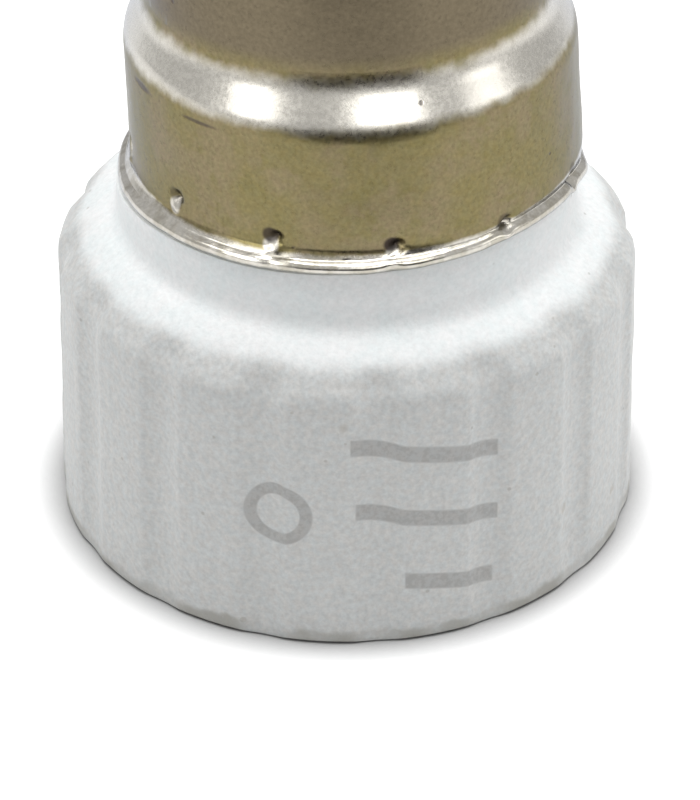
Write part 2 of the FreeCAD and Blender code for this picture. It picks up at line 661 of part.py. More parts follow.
def stamp_crimps(body):
    """Stamp the small conical crimp marks that lock the skirt into the spigot's groove."""
    upright = Vector(0, 1, 0)
    middle = "(skirt_radius - shell_thickness / 2)"
    boss_end = "(skirt_radius - shell_thickness - crimp_depth)"
    pit_end = "(skirt_radius - crimp_depth)"
    mouth = "(skirt_radius + shell_thickness)"
    flare = "(shell_thickness * (crimp_radius - crimp_tip_radius) / crimp_depth)"
    boss = new_sketch(body, "crimp_boss_section", "XZ_Plane", {"y": "crimp_height"},
                      (upright, "crimp_phase"))
    draw_chain(boss, [
        (middle, "0"),
        (boss_end, "0"),
        (boss_end, "crimp_tip_radius + shell_thickness / 2"),
        (middle, "crimp_radius + shell_thickness"),
    ])
    raised = revolve(body, "crimp_boss", boss, axis="H_Axis")
    pit = new_sketch(body, "crimp_pit_section", "XZ_Plane", {"y": "crimp_height"},
                     (upright, "crimp_phase"))
    draw_chain(pit, [
        (mouth, "0"),
        (pit_end, "0"),
        (pit_end, "crimp_tip_radius"),
        (mouth, f"crimp_radius + {flare}"),
    ])
    sunk = revolve(body, "crimp_pit", pit, kind="Groove", axis="H_Axis")
    doc.recompute()
    pattern(body, "crimps", [raised, sunk], "crimp_count")
    doc.recompute()


def make_bayonet_pins():
    """The two pins riveted through the barrel, one at the front and one at the back."""
    body = new_body("bayonet_pins")
    seat_on_cap(body)
    bore_face = "(barrel_radius - shell_thickness)"
    section = new_sketch(body, "pin_section", "YZ_Plane", {"y": "bayonet_pin_height"})
    head_face = f"(sqrt({bore_face} * {bore_face} - pin_head_radius * pin_head_radius))"
    head_back = f"({head_face} - pin_head_thickness)"
    end_chamfer = "(bayonet_pin_radius / 4)"
    foot_chamfer = "(bayonet_pin_radius / 7)"
    draw_chain(section, [
        (head_back, "0"),
        (head_back, "pin_head_radius"),
        (head_face, "pin_head_radius"),
        (head_face, "pin_neck_radius"),
        ("barrel_radius", "pin_neck_radius"),
        ("barrel_radius", f"bayonet_pin_radius - {foot_chamfer}"),
        (f"barrel_radius + {foot_chamfer}", "bayonet_pin_radius"),
        (f"bayonet_pin_reach - {end_chamfer}", "bayonet_pin_radius"),
        ("bayonet_pin_reach", f"bayonet_pin_radius - {end_chamfer}"),
        ("bayonet_pin_reach", "0"),
    ])
    pin = revolve(body, "pin", section, axis="H_Axis")
    doc.recompute()
    pattern(body, "pins", [pin], "2")
    return body


def make_insulator():
    """The black glass that fills the crown and holds the two contact plates."""
    body = new_body("cap_insulator")
    seat_on_cap(body)
    radius = "(barrel_radius - shell_thickness - glass_play)"
    throat = "(crown_opening - glass_play)"
    under_crown = "(barrel_top - shell_thickness - glass_play)"
    section = new_sketch(body, "glass_section", "XZ_Plane")
    draw_chain(section, [
        ("0", "glass_foot"),
        (f"{radius} - glass_chamfer", "glass_foot"),
        (radius, "glass_foot + glass_chamfer"),
        (radius, f"{under_crown} - crown_round + shell_thickness"),
        (f"{radius} - crown_round + shell_thickness", under_crown),
        (throat, under_crown),
        (throat, "barrel_top"),
        (f"{throat} - glass_taper", "glass_top"),
        ("0", "glass_top"),
    ])
    revolve(body, "glass", section)
    bores = new_sketch(body, "glass_bore_outline", "XY_Plane", {"z": "glass_foot - 1"})
    for side in ("", "-"):
        draw_circle(bores, f"{side}tip_spacing / 2", "0", "tip_tube_radius")
    pocket_up(body, "glass_bores", bores, "glass_top - glass_foot + 2")
    return body


def make_tip(label, side):
    """A contact plate with the tube that holds it in the glass."""
    body = new_body(label)
    seat_on_cap(body)
    foot = "(glass_foot - tip_tube_end)"
    section = new_sketch(body, f"{label}_section", "XZ_Plane", {"x": f"{side} * tip_spacing / 2"})
    draw_chain(section, [
        ("tip_bore_radius", foot),
        ("tip_tube_radius", foot),
        ("tip_tube_radius", "glass_top"),
        ("tip_radius", "glass_top"),
        ("tip_radius", "tip_top - tip_thickness / 3"),
        ("tip_radius - tip_thickness / 3", "tip_top"),
        ("tip_bore_radius", "tip_top"),
    ])
    revolve(body, f"{label}_plate", section)
    return body


def make_solder():
    """The two solder domes on the contact plates."""
    body = new_body("tip_solder")
    seat_on_cap(body)
    ball = "((solder_radius * solder_radius + solder_height * solder_height) / (2 * solder_height))"
    stem = "(tip_bore_radius - solder_play)"
    section = new_sketch(body, "solder_section", "XZ_Plane", {"x": "tip_spacing / 2"})
    draw_chain(section, [
        ("0", "tip_top - solder_depth"),
        (stem, "tip_top - solder_depth"),
        (stem, "tip_top"),
        ("solder_radius", "tip_top", ball, "0", f"tip_top + solder_height - {ball}"),
        ("0", "tip_top + solder_height"),
    ])
    dome = revolve(body, "dome", section)
    doc.recompute()
    pattern(body, "domes", [dome], "2")
    return body


def cap_point(x, z):
    """A point of the cap's own frame, in the adapter's frame."""
    lean = math.radians(value("cap_lean"))
    return Vector(
        value("cap_shift") + x * math.cos(lean) - z * math.sin(lean),
        0,
        value("cap_height") + x * math.sin(lean) + z * math.cos(lean))


def rounded_path(points, radii):
    """Join points by straight runs, with a tangent arc of the given radius at each turn."""
    edges = []
    start = points[0]
    for number in range(1, len(points) - 1):
        corner = points[number]
        back = (points[number - 1] - corner).normalize()
        ahead = (points[number + 1] - corner).normalize()
        half = back.getAngle(ahead) / 2
        reach = radii[number - 1] / math.tan(half)
        middle = (back + ahead).normalize()
        centre = corner + middle * (radii[number - 1] / math.sin(half))
        first = corner + back * reach
        last = corner + ahead * reach
        edges.append(Part.LineSegment(start, first).toShape())
        edges.append(Part.Arc(first, centre - middle * radii[number - 1], last).toShape())
        start = last
    edges.append(Part.LineSegment(start, points[-1]).toShape())
    return Part.Wire(edges)


def wire_route(side, inner_end, upper_end):
    """The route of one wire: level to the neck, up through it, and out to its plate."""
    spread = side * value("wire_spread")
    height = value("wire_height")
    turn = value("spigot_top + wire_rise")
    tip_x = side * value("tip_spacing / 2")
    points = [
        Vector(side * inner_end, 0, height),
        Vector(spread, 0, height),
        Vector(spread, 0, turn),
        cap_point(tip_x, value("glass_foot - tip_tube_end - 3 * wire_radius")),
        cap_point(tip_x, upper_end),
    ]
    radii = [value("wire_bend"), value("wire_sweep"), value("wire_sweep / 4")]
    return rounded_path(points, radii)


def add_swept(label, path, outer, inner=None):
    """A round wire, or a sleeve with a bore, along a path."""
    start = path.Edges[0].valueAt(path.Edges[0].FirstParameter)
    heading = path.Edges[0].tangentAt(path.Edges[0].FirstParameter)
    rings = [outer] if inner is None else [outer, inner]
    solids = []
    for radius in rings:
        ring = Part.Wire([Part.Circle(start, heading, radius).toShape()])
        solids.append(path.makePipeShell([ring], True, False))
    shape = solids[0] if inner is None else solids[0].cut(solids[1])
    feature = doc.addObject("Part::Feature", label)
    feature.Label = label
    feature.Shape = shape
    feature.Placement = Placement()
    return feature


def make_wiring():
    """Each wire from its contact to its plate, and the sleeve around it."""
    pieces = []
    top_end = value("tip_top - solder_depth - wire_end_gap")
    sleeve_top = value("glass_foot - tip_tube_end - 2 * sleeve_radius")
    for name, side in (("live", 1), ("neutral", -1)):
        bare = wire_route(side, value("contact_root + wire_stub"), top_end)
        pieces.append(add_swept(f"{name}_wire", bare, value("wire_radius")))
        covered = wire_sleeve_route(side, value("contact_root - sleeve_back"), sleeve_top)
        pieces.append(add_swept(f"{name}_sleeve", covered, value("sleeve_radius"),
                                value("wire_radius + sleeve_play")))
    return pieces


def wire_sleeve_route(side, inner_end, upper_end):
    """The part of a wire's route that its sleeve covers, up to a point on the last slope."""
    tip_x = side * value("tip_spacing / 2")
    spread = side * value("wire_spread")
    height = value("wire_height")
    turn = Vector(spread, 0, value("spigot_top + wire_rise"))
    last = cap_point(tip_x, value("glass_foot - tip_tube_end - 3 * wire_radius"))
    share = (upper_end - 3 * value("sleeve_radius") + value("cap_height") - turn.z) / (last.z - turn.z)
    points = [
        Vector(side * inner_end, 0, height),
        Vector(spread, 0, height),
        turn,
        turn + (last - turn) * share,
    ]
    return rounded_path(points, [value("wire_bend"), value("wire_sweep")])


def make_all():
    pieces = [
        make_housing(),
        make_socket_face(),
        make_carrier(),
        make_contact("live_contact", 1),
        make_contact("neutral_contact", -1),
        make_screws(),
        make_washers(),
        make_nuts(),
        make_cap_shell(),
        make_bayonet_pins(),
        make_insulator(),
        make_tip("live_tip", 1),
        make_tip("neutral_tip", -1),
        make_solder(),
    ]
    pieces += make_wiring()
    doc.recompute()
    return pieces


def check(pieces):
    """Stop before anything is written if a feature failed or a shape isn't sound."""
    for item in doc.Objects:
        if "Invalid" in item.State or "Error" in item.State:
            raise RuntimeError(f"{item.Name} failed")
    for piece in pieces:
        if piece.Shape.isNull() or not piece.Shape.isValid() or not piece.Shape.Solids:
            raise RuntimeError(f"{piece.Label} has no sound solid")


pieces = make_all()
check(pieces)
os.makedirs("parts", exist_ok=True)
for piece in pieces:
    piece.Shape.exportStep(f"parts/{piece.Label}.step")
    box = piece.Shape.BoundBox
    print(f"{piece.Label}: {len(piece.Shape.Solids)} solid(s), {piece.Shape.Volume:.2f} mm3, "
          f"z {box.ZMin:.2f} to {box.ZMax:.2f}")
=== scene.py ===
"""The looks of a lamp socket adapter: a fluted ceramic lampholder on a stepped bayonet cap.

Every length in the code is in millimetres until it is written into a mesh, which is in metres.
"""

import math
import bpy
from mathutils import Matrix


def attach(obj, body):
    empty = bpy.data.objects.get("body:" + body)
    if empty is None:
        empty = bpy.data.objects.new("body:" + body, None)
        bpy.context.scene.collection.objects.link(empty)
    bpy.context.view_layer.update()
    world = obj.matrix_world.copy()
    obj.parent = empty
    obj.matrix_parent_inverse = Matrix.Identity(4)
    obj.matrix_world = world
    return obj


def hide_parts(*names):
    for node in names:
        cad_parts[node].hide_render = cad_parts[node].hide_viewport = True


bl_info = {
    "name": "Lamp Socket Adapter",
    "version": (1, 0, 0),
    "blender": (4, 5, 0),
    "location": "3D View > Sidebar > Adapter",
    "description": "Builds a fluted ceramic lamp socket adapter with a metal bayonet cap",
    "category": "Object",
}

import bmesh
import bpy
from bpy.props import FloatProperty, FloatVectorProperty, IntProperty, PointerProperty
from mathutils import Euler, Matrix, Vector, noise

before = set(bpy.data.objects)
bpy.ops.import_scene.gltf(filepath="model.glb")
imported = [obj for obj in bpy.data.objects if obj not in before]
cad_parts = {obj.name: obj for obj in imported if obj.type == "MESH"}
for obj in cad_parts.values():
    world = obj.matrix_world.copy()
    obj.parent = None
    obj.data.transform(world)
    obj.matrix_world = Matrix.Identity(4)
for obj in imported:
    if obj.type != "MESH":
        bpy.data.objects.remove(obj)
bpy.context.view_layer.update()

MM = 0.001

WALL_FOOT_RADIUS = 16.42
FOOT_ROUND = 0.35
FLUTE_PHASE = 6.1
NECK_RADIUS = 12.75
SPIGOT_RADIUS = 11.8
SPIGOT_TOP = 27.43
GROOVE_RADIUS = 11.1
LEDGE_GAP = 0.03
WIRE_BORE_RADIUS = 5.0
CHAMBER_RADIUS = 12.6
CHAMBER_CEILING = 15.4
RIM_BORE_RADIUS = 13.9
RIM_DEPTH = 4.9
SCREW_DISTANCE = 8.6
SCREW_HOLE_RADIUS = 1.45

CAP_LEAN = math.radians(1.95)
CAP_SEAT = Vector((0.28, 0.0, 21.96))
CAP_PLACE = Matrix.Translation(CAP_SEAT) @ Matrix.Rotation(-CAP_LEAN, 4, "Y")
SKIRT_RADIUS = 12.5
CRIMP_PHASE = 10.0
LIP_DROP = 0.75
LIP_FRONT_DROP = 0.17
LIP_FRONT_REACH = 0.78
TIP_SPREAD = 4.3
SOLDER_FOOT = 24.9

# Each printed bar: left and right bearing in degrees, height of its lower edge.
BARS = ((0.5, 31.0, 12.4), (1.5, 31.0, 8.2), (11.0, 30.0, 3.5))
BAR_HEIGHT = 1.2
BAR_SLOPE = -0.054
RING_BEARING = -13.3
RING_HEIGHT = 8.35
RING_RADIUS = 1.6
RING_MM_PER_DEGREE = 0.285
SPECK_DISTANCE = 16.3
# Each speck on the wall: bearing, height, size.
SPECKS = (
    (66.1, 3.35, 0.34), (-20.3, 0.9, 0.2), (-10.3, 15.1, 0.13),
    (-35.0, 14.2, 0.12), (39.0, 15.3, 0.14), (-26.0, 12.6, 0.1),
)
CAP_MARK_DISTANCE = 12.2
# Each dark mark on the cap: bearing, height, half its width, half its height.
CAP_DARK_MARKS = (
    (19.5, 9.1, 0.17, 0.14), (-40.0, 7.35, 1.5, 0.16),
    (-64.0, 7.3, 1.3, 0.3), (58.0, 3.2, 0.16, 0.12),
)

FLOOR_WIDTH = 6000.0
FLOOR_GLOW = 0.5
CARD_SIZE = (120.0, 38.0)
CARD_PLACE = Vector((11.0, -90.0, 19.0))
LIGHT_TARGET = Vector((0.0, 0.0, 15.0))
# Each softbox that only metal shows: name, azimuth, elevation, size, power.
METAL_SOFTBOXES = (
    ("left_softbox", -50.0, 24.0, (180.0, 260.0), 0.55),
    ("front_softbox", 19.0, 30.0, (280.0, 240.0), 0.75),
    ("right_softbox", 72.0, 18.0, (230.0, 200.0), 0.28),
    ("high_left_softbox", -72.0, 47.0, (300.0, 180.0), 0.5),
    ("high_front_softbox", 14.0, 58.0, (240.0, 140.0), 0.35),
)

CAMERA_TARGET = Vector((0.187, 0.0, 4.941))
CAMERA_RISE = math.radians(34.676)
CAMERA_DISTANCE = 232.9
CAMERA_LENS = 182.27


class Flow:
    """A value in a node tree. Arithmetic on it adds the Math nodes that work it out."""

    def __init__(self, graph, socket):
        self.graph = graph
        self.socket = socket

    def output(self, key):
        """Return another output of the node that this value comes from."""
        return Flow(self.graph, self.graph.find(self.socket.node.outputs, key))

    def math(self, operation, *others):
        """Return this value put through a Math node, with the others as its next inputs."""
        return self.graph.math(operation, self, *others)

    def __add__(self, other):
        return self.math("ADD", other)

    def __radd__(self, other):
        return self.graph.math("ADD", other, self)

    def __sub__(self, other):
        return self.math("SUBTRACT", other)

    def __rsub__(self, other):
        return self.graph.math("SUBTRACT", other, self)

    def __mul__(self, other):
        return self.math("MULTIPLY", other)

    def __rmul__(self, other):
        return self.graph.math("MULTIPLY", other, self)

    def __truediv__(self, other):
        return self.math("DIVIDE", other)

    def __rtruediv__(self, other):
        return self.graph.math("DIVIDE", other, self)

    def __neg__(self):
        return self.math("MULTIPLY", -1.0)

    def sin(self):
        return self.math("SINE")

    def cos(self):
        return self.math("COSINE")

    def sqrt(self):
        return self.math("SQRT")

    def abs(self):
        return self.math("ABSOLUTE")

    def round(self):
        return self.math("ROUND")

    def most(self, other):
        return self.math("MAXIMUM", other)

    def above(self, edge):
        return self.math("GREATER_THAN", edge)

    def rise(self, start, end):
        """Return 0 below start and 1 above end, with a smooth step between them."""
        settings = {"interpolation_type": "SMOOTHSTEP"}
        values = {"Value": self, "From Min": start, "From Max": end}
        return self.graph.node("ShaderNodeMapRange", settings, values)

    def fade(self):
        """Return e to the power of minus this value."""
        return (-self).math("EXPONENT")

    def bump(self, middle, width):
        """Return a soft hill that is 1 at middle and fades out over about width."""
        away = (self - middle) / width
        return (away * away).fade()


def hypotenuse(across, along):
    return (across * across + along * along).sqrt()


def arc_length(turn, radius):
    """Return the length of a turn in degrees on a circle of that radius."""
    return turn * math.radians(radius)


class Graph:
    """A node tree that is being filled."""

    def __init__(self, tree):
        self.tree = tree
        self.count = 0

    @staticmethod
    def find(sockets, key):
        """Return the socket with this number, identifier or name."""
        if isinstance(key, int):
            return sockets[key]
        for socket in sockets:
            if socket.identifier == key:
                return socket
        return sockets[key]

    def feed(self, socket, value):
        """Link a flow to the socket, or set the socket to a plain value."""
        if isinstance(value, Flow):
            self.tree.links.new(value.socket, socket)
        else:
            socket.default_value = value

    def node(self, kind, settings=None, values=None, output=0):
        """Add a node, apply its settings, fill its sockets and return one of its outputs."""
        made = self.tree.nodes.new(kind)
        made.location = (self.count % 16 * 190, self.count // 16 * -260)
        self.count += 1
        for name, setting in (settings or {}).items():
            setattr(made, name, setting)
        filled = values if isinstance(values, dict) else dict(enumerate(values or []))
        for key, value in filled.items():
            self.feed(self.find(made.inputs, key), value)
        if output is None:
            return None
        return Flow(self, self.find(made.outputs, output))

    def math(self, operation, *values):
        return self.node("ShaderNodeMath", {"operation": operation}, list(values))

    def vector(self, operation, *values):
        return self.node("ShaderNodeVectorMath", {"operation": operation}, list(values))

    def scaled(self, vector, factor):
        """Return the vector with each part times the same factor."""
        values = {"Vector": vector, "Scale": factor}
        return self.node("ShaderNodeVectorMath", {"operation": "SCALE"}, values)

    def parts(self, vector):
        """Return the three numbers of a vector."""
        first = self.node("ShaderNodeSeparateXYZ", None, [vector])
        return first, first.output(1), first.output(2)

    def joined(self, x, y, z):
        return self.node("ShaderNodeCombineXYZ", None, [x, y, z])

    def noise(self, vector, scale, detail=2.0, roughness=0.5):
        values = {"Vector": vector, "Scale": scale, "Detail": detail, "Roughness": roughness}
        return self.node("ShaderNodeTexNoise", None, values)

    def spots(self, vector, scale, size, rarity):
        """Return 1 on scattered round spots: one cell in about rarity has a spot of that size."""
        values = {"Vector": vector, "Scale": scale}
        cells = self.node("ShaderNodeTexVoronoi", None, values, "Distance")
        chance = self.parts(cells.output("Color"))[0]
        return (1.0 - cells.rise(size * 0.5, size)) * chance.above(1.0 - 1.0 / rarity)

    def mix(self, factor, first, second):
        """Return the first colour where factor is 0 and the second where it is 1."""
        values = {"Factor_Float": factor}
        for key, colour in (("A_Color", first), ("B_Color", second)):
            values[key] = colour if isinstance(colour, Flow) else (*colour, 1.0)
        return self.node("ShaderNodeMix", {"data_type": "RGBA"}, values, "Result_Color")

    def tint(self, colour, factor):
        """Return a colour made lighter or darker by a factor."""
        return self.scaled(colour if isinstance(colour, Flow) else tuple(colour), factor)


class Finish(Graph):
    """A material that is being made, with its pattern coordinates in millimetres."""

    def __init__(self, name, cap_frame=False):
        self.material = bpy.data.materials.new(name)
        self.material.use_nodes = True
        super().__init__(self.material.node_tree)
        self.tree.nodes.clear()
        place = self.node("ShaderNodeTexCoord", None, None, "Object")
        self.place = self.scaled(place, 1.0 / MM)
        if cap_frame:
            values = {"Vector": self.place, "Location": CAP_SEAT, "Rotation": (0.0, -CAP_LEAN, 0.0)}
            self.place = self.node("ShaderNodeMapping", {"vector_type": "TEXTURE"}, values)
        self.x, self.y, self.z = self.parts(self.place)

    def radius(self):
        return hypotenuse(self.x, self.y)

    def bearing(self):
        """Return the angle in degrees about the axis, 0 at the front and rising to the right."""
        return self.x.math("ARCTAN2", -self.y) * math.degrees(1.0)

    def surface(self, colour, roughness, metallic=0.0, height=None, bump_strength=1.0, **fixed):
        """Close the material with a shader. Height is in millimetres, and fixed are constants."""
        values = {"Base Color": colour, "Roughness": roughness, "Metallic": metallic}
        for name, value in fixed.items():
            values[name.replace("_", " ").title().replace("Ior", "IOR")] = value
        if height is not None:
            bump = {"Strength": bump_strength, "Distance": MM, "Height": height}
            values["Normal"] = self.node("ShaderNodeBump", None, bump)
        shader = self.node("ShaderNodeBsdfPrincipled", None, values)
        self.node("ShaderNodeOutputMaterial", None, {"Surface": shader}, None)
        return self.material


def straight(start, end, step):
    """Points from start up to but not including end, evenly spaced at about step."""
    start, end = Vector(start), Vector(end)
    count = max(1, round((end - start).length / step))
    return [tuple(start.lerp(end, i / count)) for i in range(count)]


def arc(centre, start, end, step):
    """The same along the arc about centre, the short way round."""
    centre = Vector(centre)
    out, back = Vector(start) - centre, Vector(end) - centre
    first = math.atan2(out.y, out.x)
    turn = math.remainder(math.atan2(back.y, back.x) - first, 2 * math.pi)
    count = max(2, round(abs(turn) * out.length / step))
    points = []
    for i in range(count):
        part = i / count
        reach = out.length + (back.length - out.length) * part
        angle = first + turn * part
        points.append((centre.x + reach * math.cos(angle), centre.y + reach * math.sin(angle)))
    return points


def on_circle(radius, height, angle):
    return Vector((radius * math.cos(angle), radius * math.sin(angle), height))


def plain_rings(points):
    """Return the level ring at each radius and height, as a function of the angle."""
    return [lambda a, p=p: on_circle(p[0], p[1], a) for p in points]


def add_object(name, data):
    """Make an object of a mesh, light or camera and put it into the scene."""
    thing = bpy.data.objects.new(name, data)
    bpy.context.collection.objects.link(thing)
    return thing


def new_mesh(name, shape):
    """Turn a bmesh into a mesh and free it."""
    mesh = bpy.data.meshes.new(name)
    shape.to_mesh(mesh)
    shape.free()
    return mesh


def lathe(name, rings, segments):
    """Make a closed ring-shaped mesh. Each ring is a function from an angle to a point in mm."""
    turns = [2 * math.pi * j / segments for j in range(segments)]
    points = [ring(turn) * MM for ring in rings for turn in turns]
    faces = []
    for i in range(len(rings)):
        low, high = i * segments, (i + 1) % len(rings) * segments
        for j in range(segments):
            k = (j + 1) % segments
            faces.append((low + j, low + k, high + k, high + j))
    mesh = bpy.data.meshes.new(name)
    mesh.from_pydata(points, [], faces)
    return add_object(name, mesh)


def turned(name, section, segments):
    """Make a closed solid by turning a section whose first and last points are on the axis."""
    shape = bmesh.new()
    rings = []
    for radius, height in section:
        count = segments if radius else 1
        turns = [2 * math.pi * j / count for j in range(count)]
        rings.append([shape.verts.new(on_circle(radius, height, turn) * MM) for turn in turns])
    for low, high in zip(rings, rings[1:]):
        for j in range(segments):
            k = (j + 1) % segments
            corners = [low[j % len(low)], low[k % len(low)]]
            corners += [high[k % len(high)], high[j % len(high)]]
            shape.faces.new(list(dict.fromkeys(corners)))
    return new_mesh(name, shape)


def apply_modifiers(piece):
    """Turn an object and its modifiers into one plain mesh."""
    depsgraph = bpy.context.evaluated_depsgraph_get()
    mesh = bpy.data.meshes.new_from_object(piece.evaluated_get(depsgraph))
    piece.modifiers.clear()
    old = piece.data
    piece.data = mesh
    bpy.data.meshes.remove(old)


def smooth(mesh, sharp_angle=35.0):
    """Shade a mesh smooth but for its edges sharper than an angle in degrees."""
    mesh.shade_smooth()
    mesh.set_sharp_from_angle(angle=math.radians(sharp_angle))


def add_recipe(piece, tree, settings):
    """Put a Geometry Nodes tree on an object and set its inputs by their names."""
    modifier = piece.modifiers.new(tree.name, "NODES")
    modifier.node_group = tree
    for item in tree.interface.items_tree:
        if item.item_type == "SOCKET" and item.in_out == "INPUT" and item.name in settings:
            modifier[item.identifier] = settings[item.name]


def new_recipe(name, inputs):
    """Start a Geometry Nodes tree with named number inputs. Returns its graph, mesh and values."""
    tree = bpy.data.node_groups.new(name, "GeometryNodeTree")
    tree.interface.new_socket("Geometry", in_out="INPUT", socket_type="NodeSocketGeometry")
    tree.interface.new_socket("Geometry", in_out="OUTPUT", socket_type="NodeSocketGeometry")
    for label, value in inputs.items():
        kind = "NodeSocketInt" if isinstance(value, int) else "NodeSocketFloat"
        tree.interface.new_socket(label, in_out="INPUT", socket_type=kind).default_value = value
    graph = Graph(tree)
    mesh = graph.node("NodeGroupInput")
    return graph, mesh, {label: mesh.output(label) for label in inputs}


def nearest_repeat(graph, size):
    """Return a point's place, its parts, radius and angle, and its repeat's number and angle."""
    position = graph.scaled(graph.node("GeometryNodeInputPosition"), 1.0 / MM)
    x, y, z = graph.parts(position)
    angle = y.math("ARCTAN2", x)
    pitch = 2 * math.pi / size["Count"]
    number = ((angle - size["Phase"]) / pitch).round()
    middle = number * pitch + size["Phase"]
    return position, x, y, z, hypotenuse(x, y), angle, number, middle


def close_recipe(graph, mesh, place, material):
    """Move the points to their place in mm, then Realize Instances and Set Material."""
    values = {"Geometry": mesh, "Position": graph.scaled(place, MM)}
    moved = graph.node("GeometryNodeSetPosition", None, values)
    real = graph.node("GeometryNodeRealizeInstances", None, [moved])
    painted = graph.node("GeometryNodeSetMaterial", None, {"Geometry": real, "Material": material})
    graph.node("NodeGroupOutput", None, [painted], None)
    return graph.tree


def assign(mesh, material):
    mesh.materials.clear()
    mesh.materials.append(material)


def dress(material, *nodes):
    """Give CAD nodes a material in each of their slots."""
    for name in nodes:
        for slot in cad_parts[name].material_slots:
            slot.material = material


def length_property(label, description, default):
    return FloatProperty(name=label, description=description, default=default, unit="LENGTH")


def colour_property(label, description, default):
    return FloatVectorProperty(name=label, description=description, default=default, size=3,
                               subtype="COLOR", min=0.0, max=1.0)


class AdapterCeramic(bpy.types.PropertyGroup):
    """Sizes and colours of the ceramic housing."""

    flute_count: IntProperty(
        name="Flutes", description="Number of flutes around the wall", default=16, min=3)
    flute_radius: length_property("Flute Radius", "Radius of a flute's round hollow", 0.0031)
    flute_depth: length_property("Flute Depth", "Depth of a flute at the wall", 0.00034)
    flute_softness: length_property(
        "Edge Softness", "How far a flute's edges are rounded over", 0.00005)
    unevenness: length_property(
        "Unevenness", "How far the fired surface wanders from its shape", 0.00006)
    colour: colour_property("Ceramic", "Colour of the fired ceramic", (0.93, 0.935, 0.935))
    print_colour: colour_property(
        "Print", "Colour of the printed fields on the wall", (0.26, 0.25, 0.24))


class AdapterCap(bpy.types.PropertyGroup):
    """Sizes and colours of the metal cap."""

    crimp_count: IntProperty(
        name="Crimps", description="Number of crimp marks around the skirt", default=12, min=3)
    crimp_depth: length_property("Crimp Depth", "Depth of a crimp mark", 0.0005)
    lip_wander: length_property(
        "Lip Wander", "How far the rolled lip wanders in and out", 0.00007)
    sheet_colour: colour_property(
        "Sheet", "Colour of the tarnished cap sheet", (0.208, 0.172, 0.078))
    bright_colour: colour_property(
        # This bright colour also makes the painted glint below each crimp.
        "Bright Sheet", "Colour of the sheet where it is rubbed bright", (0.60, 0.575, 0.52))


class AdapterFittings(bpy.types.PropertyGroup):
    """Colours of the small parts."""

    brass: colour_property("Brass", "Colour of the contact springs and pins", (0.70, 0.55, 0.28))
    steel: colour_property("Steel", "Colour of the screws, washers and nuts", (0.58, 0.58, 0.59))
    solder: colour_property(
        "Solder", "Colour of the solder on the contact plates", (0.66, 0.66, 0.68))
    glass: colour_property("Glass", "Colour of the cap's black glass", (0.018, 0.018, 0.02))


class AdapterStage(bpy.types.PropertyGroup):
    """Light and floor of the studio."""

    key_power: FloatProperty(
        name="Key Light", description="Power of the softbox above the object",
        default=3.3, subtype="POWER")
    sky_level: FloatProperty(
        name="Surrounding Light", description="Brightness of the white room", default=0.36)
    floor_colour: colour_property("Floor", "Colour of the floor", (0.72, 0.72, 0.72))


def ceramic_finish(settings):
    """Fired ceramic with fine grain, small specks, a soiled foot and worn print, with painted shade
    that colours the wall greyer than the lit shoulder, darkest round the bend.
    """
    finish = Finish("fired_ceramic")
    place = finish.place
    bearing = finish.bearing()
    radius = finish.radius()
    cloud = finish.noise(place, 0.35, 3.0)
    grain = finish.noise(place, 3.4, 2.0, 0.6)
    fine = finish.noise(place, 7.5, 1.0)
    hue = finish.noise(place, 2.1, 2.0, 0.6).rise(0.3, 0.7)
    on_wall = radius.rise(15.0, 15.4)
    cool = cloud.rise(0.35, 0.7) * 0.6 + hue * 0.4
    fired_tone = finish.mix(cool, settings.colour, (0.86, 0.91, 0.915))
    pitch = 360.0 / settings.flute_count
    off_flute = (((bearing - FLUTE_PHASE) / pitch).round() * pitch - bearing + FLUTE_PHASE).abs()
    in_flute = 1.0 - off_flute.rise(1.5, 7.0)
    # Painted shade: below the shoulder the wall takes a greyer colour, so the shoulder looks lit
    # from above. The edge of the grey lies a little higher over each flute.
    painted_wall_shade = 1.0 - (finish.z + cloud * 0.8 - in_flute * 0.15).rise(17.15, 17.95)
    dull = finish.mix(hue, (0.685, 0.68, 0.662), (0.662, 0.685, 0.685))
    colour = finish.mix(painted_wall_shade, fired_tone, dull)
    # Painted shade: a darker band round the bend from the wall to the shoulder.
    painted_bend_shade = finish.z.bump(16.6, 1.0) * 0.12
    speckle = (grain - 0.5) * (0.22 + painted_wall_shade * 0.24) + (fine - 0.5) * 0.08
    colour = finish.tint(colour, 0.98 - painted_bend_shade + speckle)
    outside = radius.rise(14.1, 14.6).most(finish.z.rise(16.0, 16.5))
    pits = finish.spots(place, 0.9, 0.13, 9.0) * outside
    colour = finish.mix(pits * 0.45, colour, (0.40, 0.38, 0.35))
    soil_edge = 0.3 + finish.noise(place, 0.55, 3.0) * 1.2
    soil = (1.0 - (finish.z - soil_edge).rise(-0.3, 0.15)) * radius.rise(14.5, 15.2)
    patches = finish.noise(place, 0.28, 2.0).rise(0.33, 0.55)
    soil = soil * (0.35 + patches * 0.65) * grain.rise(0.1, 0.45) * (1.0 - in_flute * 0.6)
    colour = finish.mix(soil * 0.8, colour, (0.41, 0.40, 0.36))
    ink = print_mask(finish, bearing, grain) * on_wall
    colour = finish.mix(ink, colour, settings.print_colour)
    chip = finish.spots(place, 0.16, 0.07, 3.0) * outside
    for turn, level, size in SPECKS:
        reach = hypotenuse(arc_length(bearing - turn, SPECK_DISTANCE), finish.z - level)
        speck = 1.0 - (reach + (grain - 0.5) * size).rise(size * 0.5, size)
        chip = chip.most(speck * on_wall)
    colour = finish.mix(chip * 0.5, colour, (0.50, 0.47, 0.42))
    height = grain * 0.035 + fine * 0.012 - pits * 0.03 - soil * 0.02 - chip * 0.06
    return finish.surface(colour, 0.5 + grain * 0.14, height=height, bump_strength=0.55)


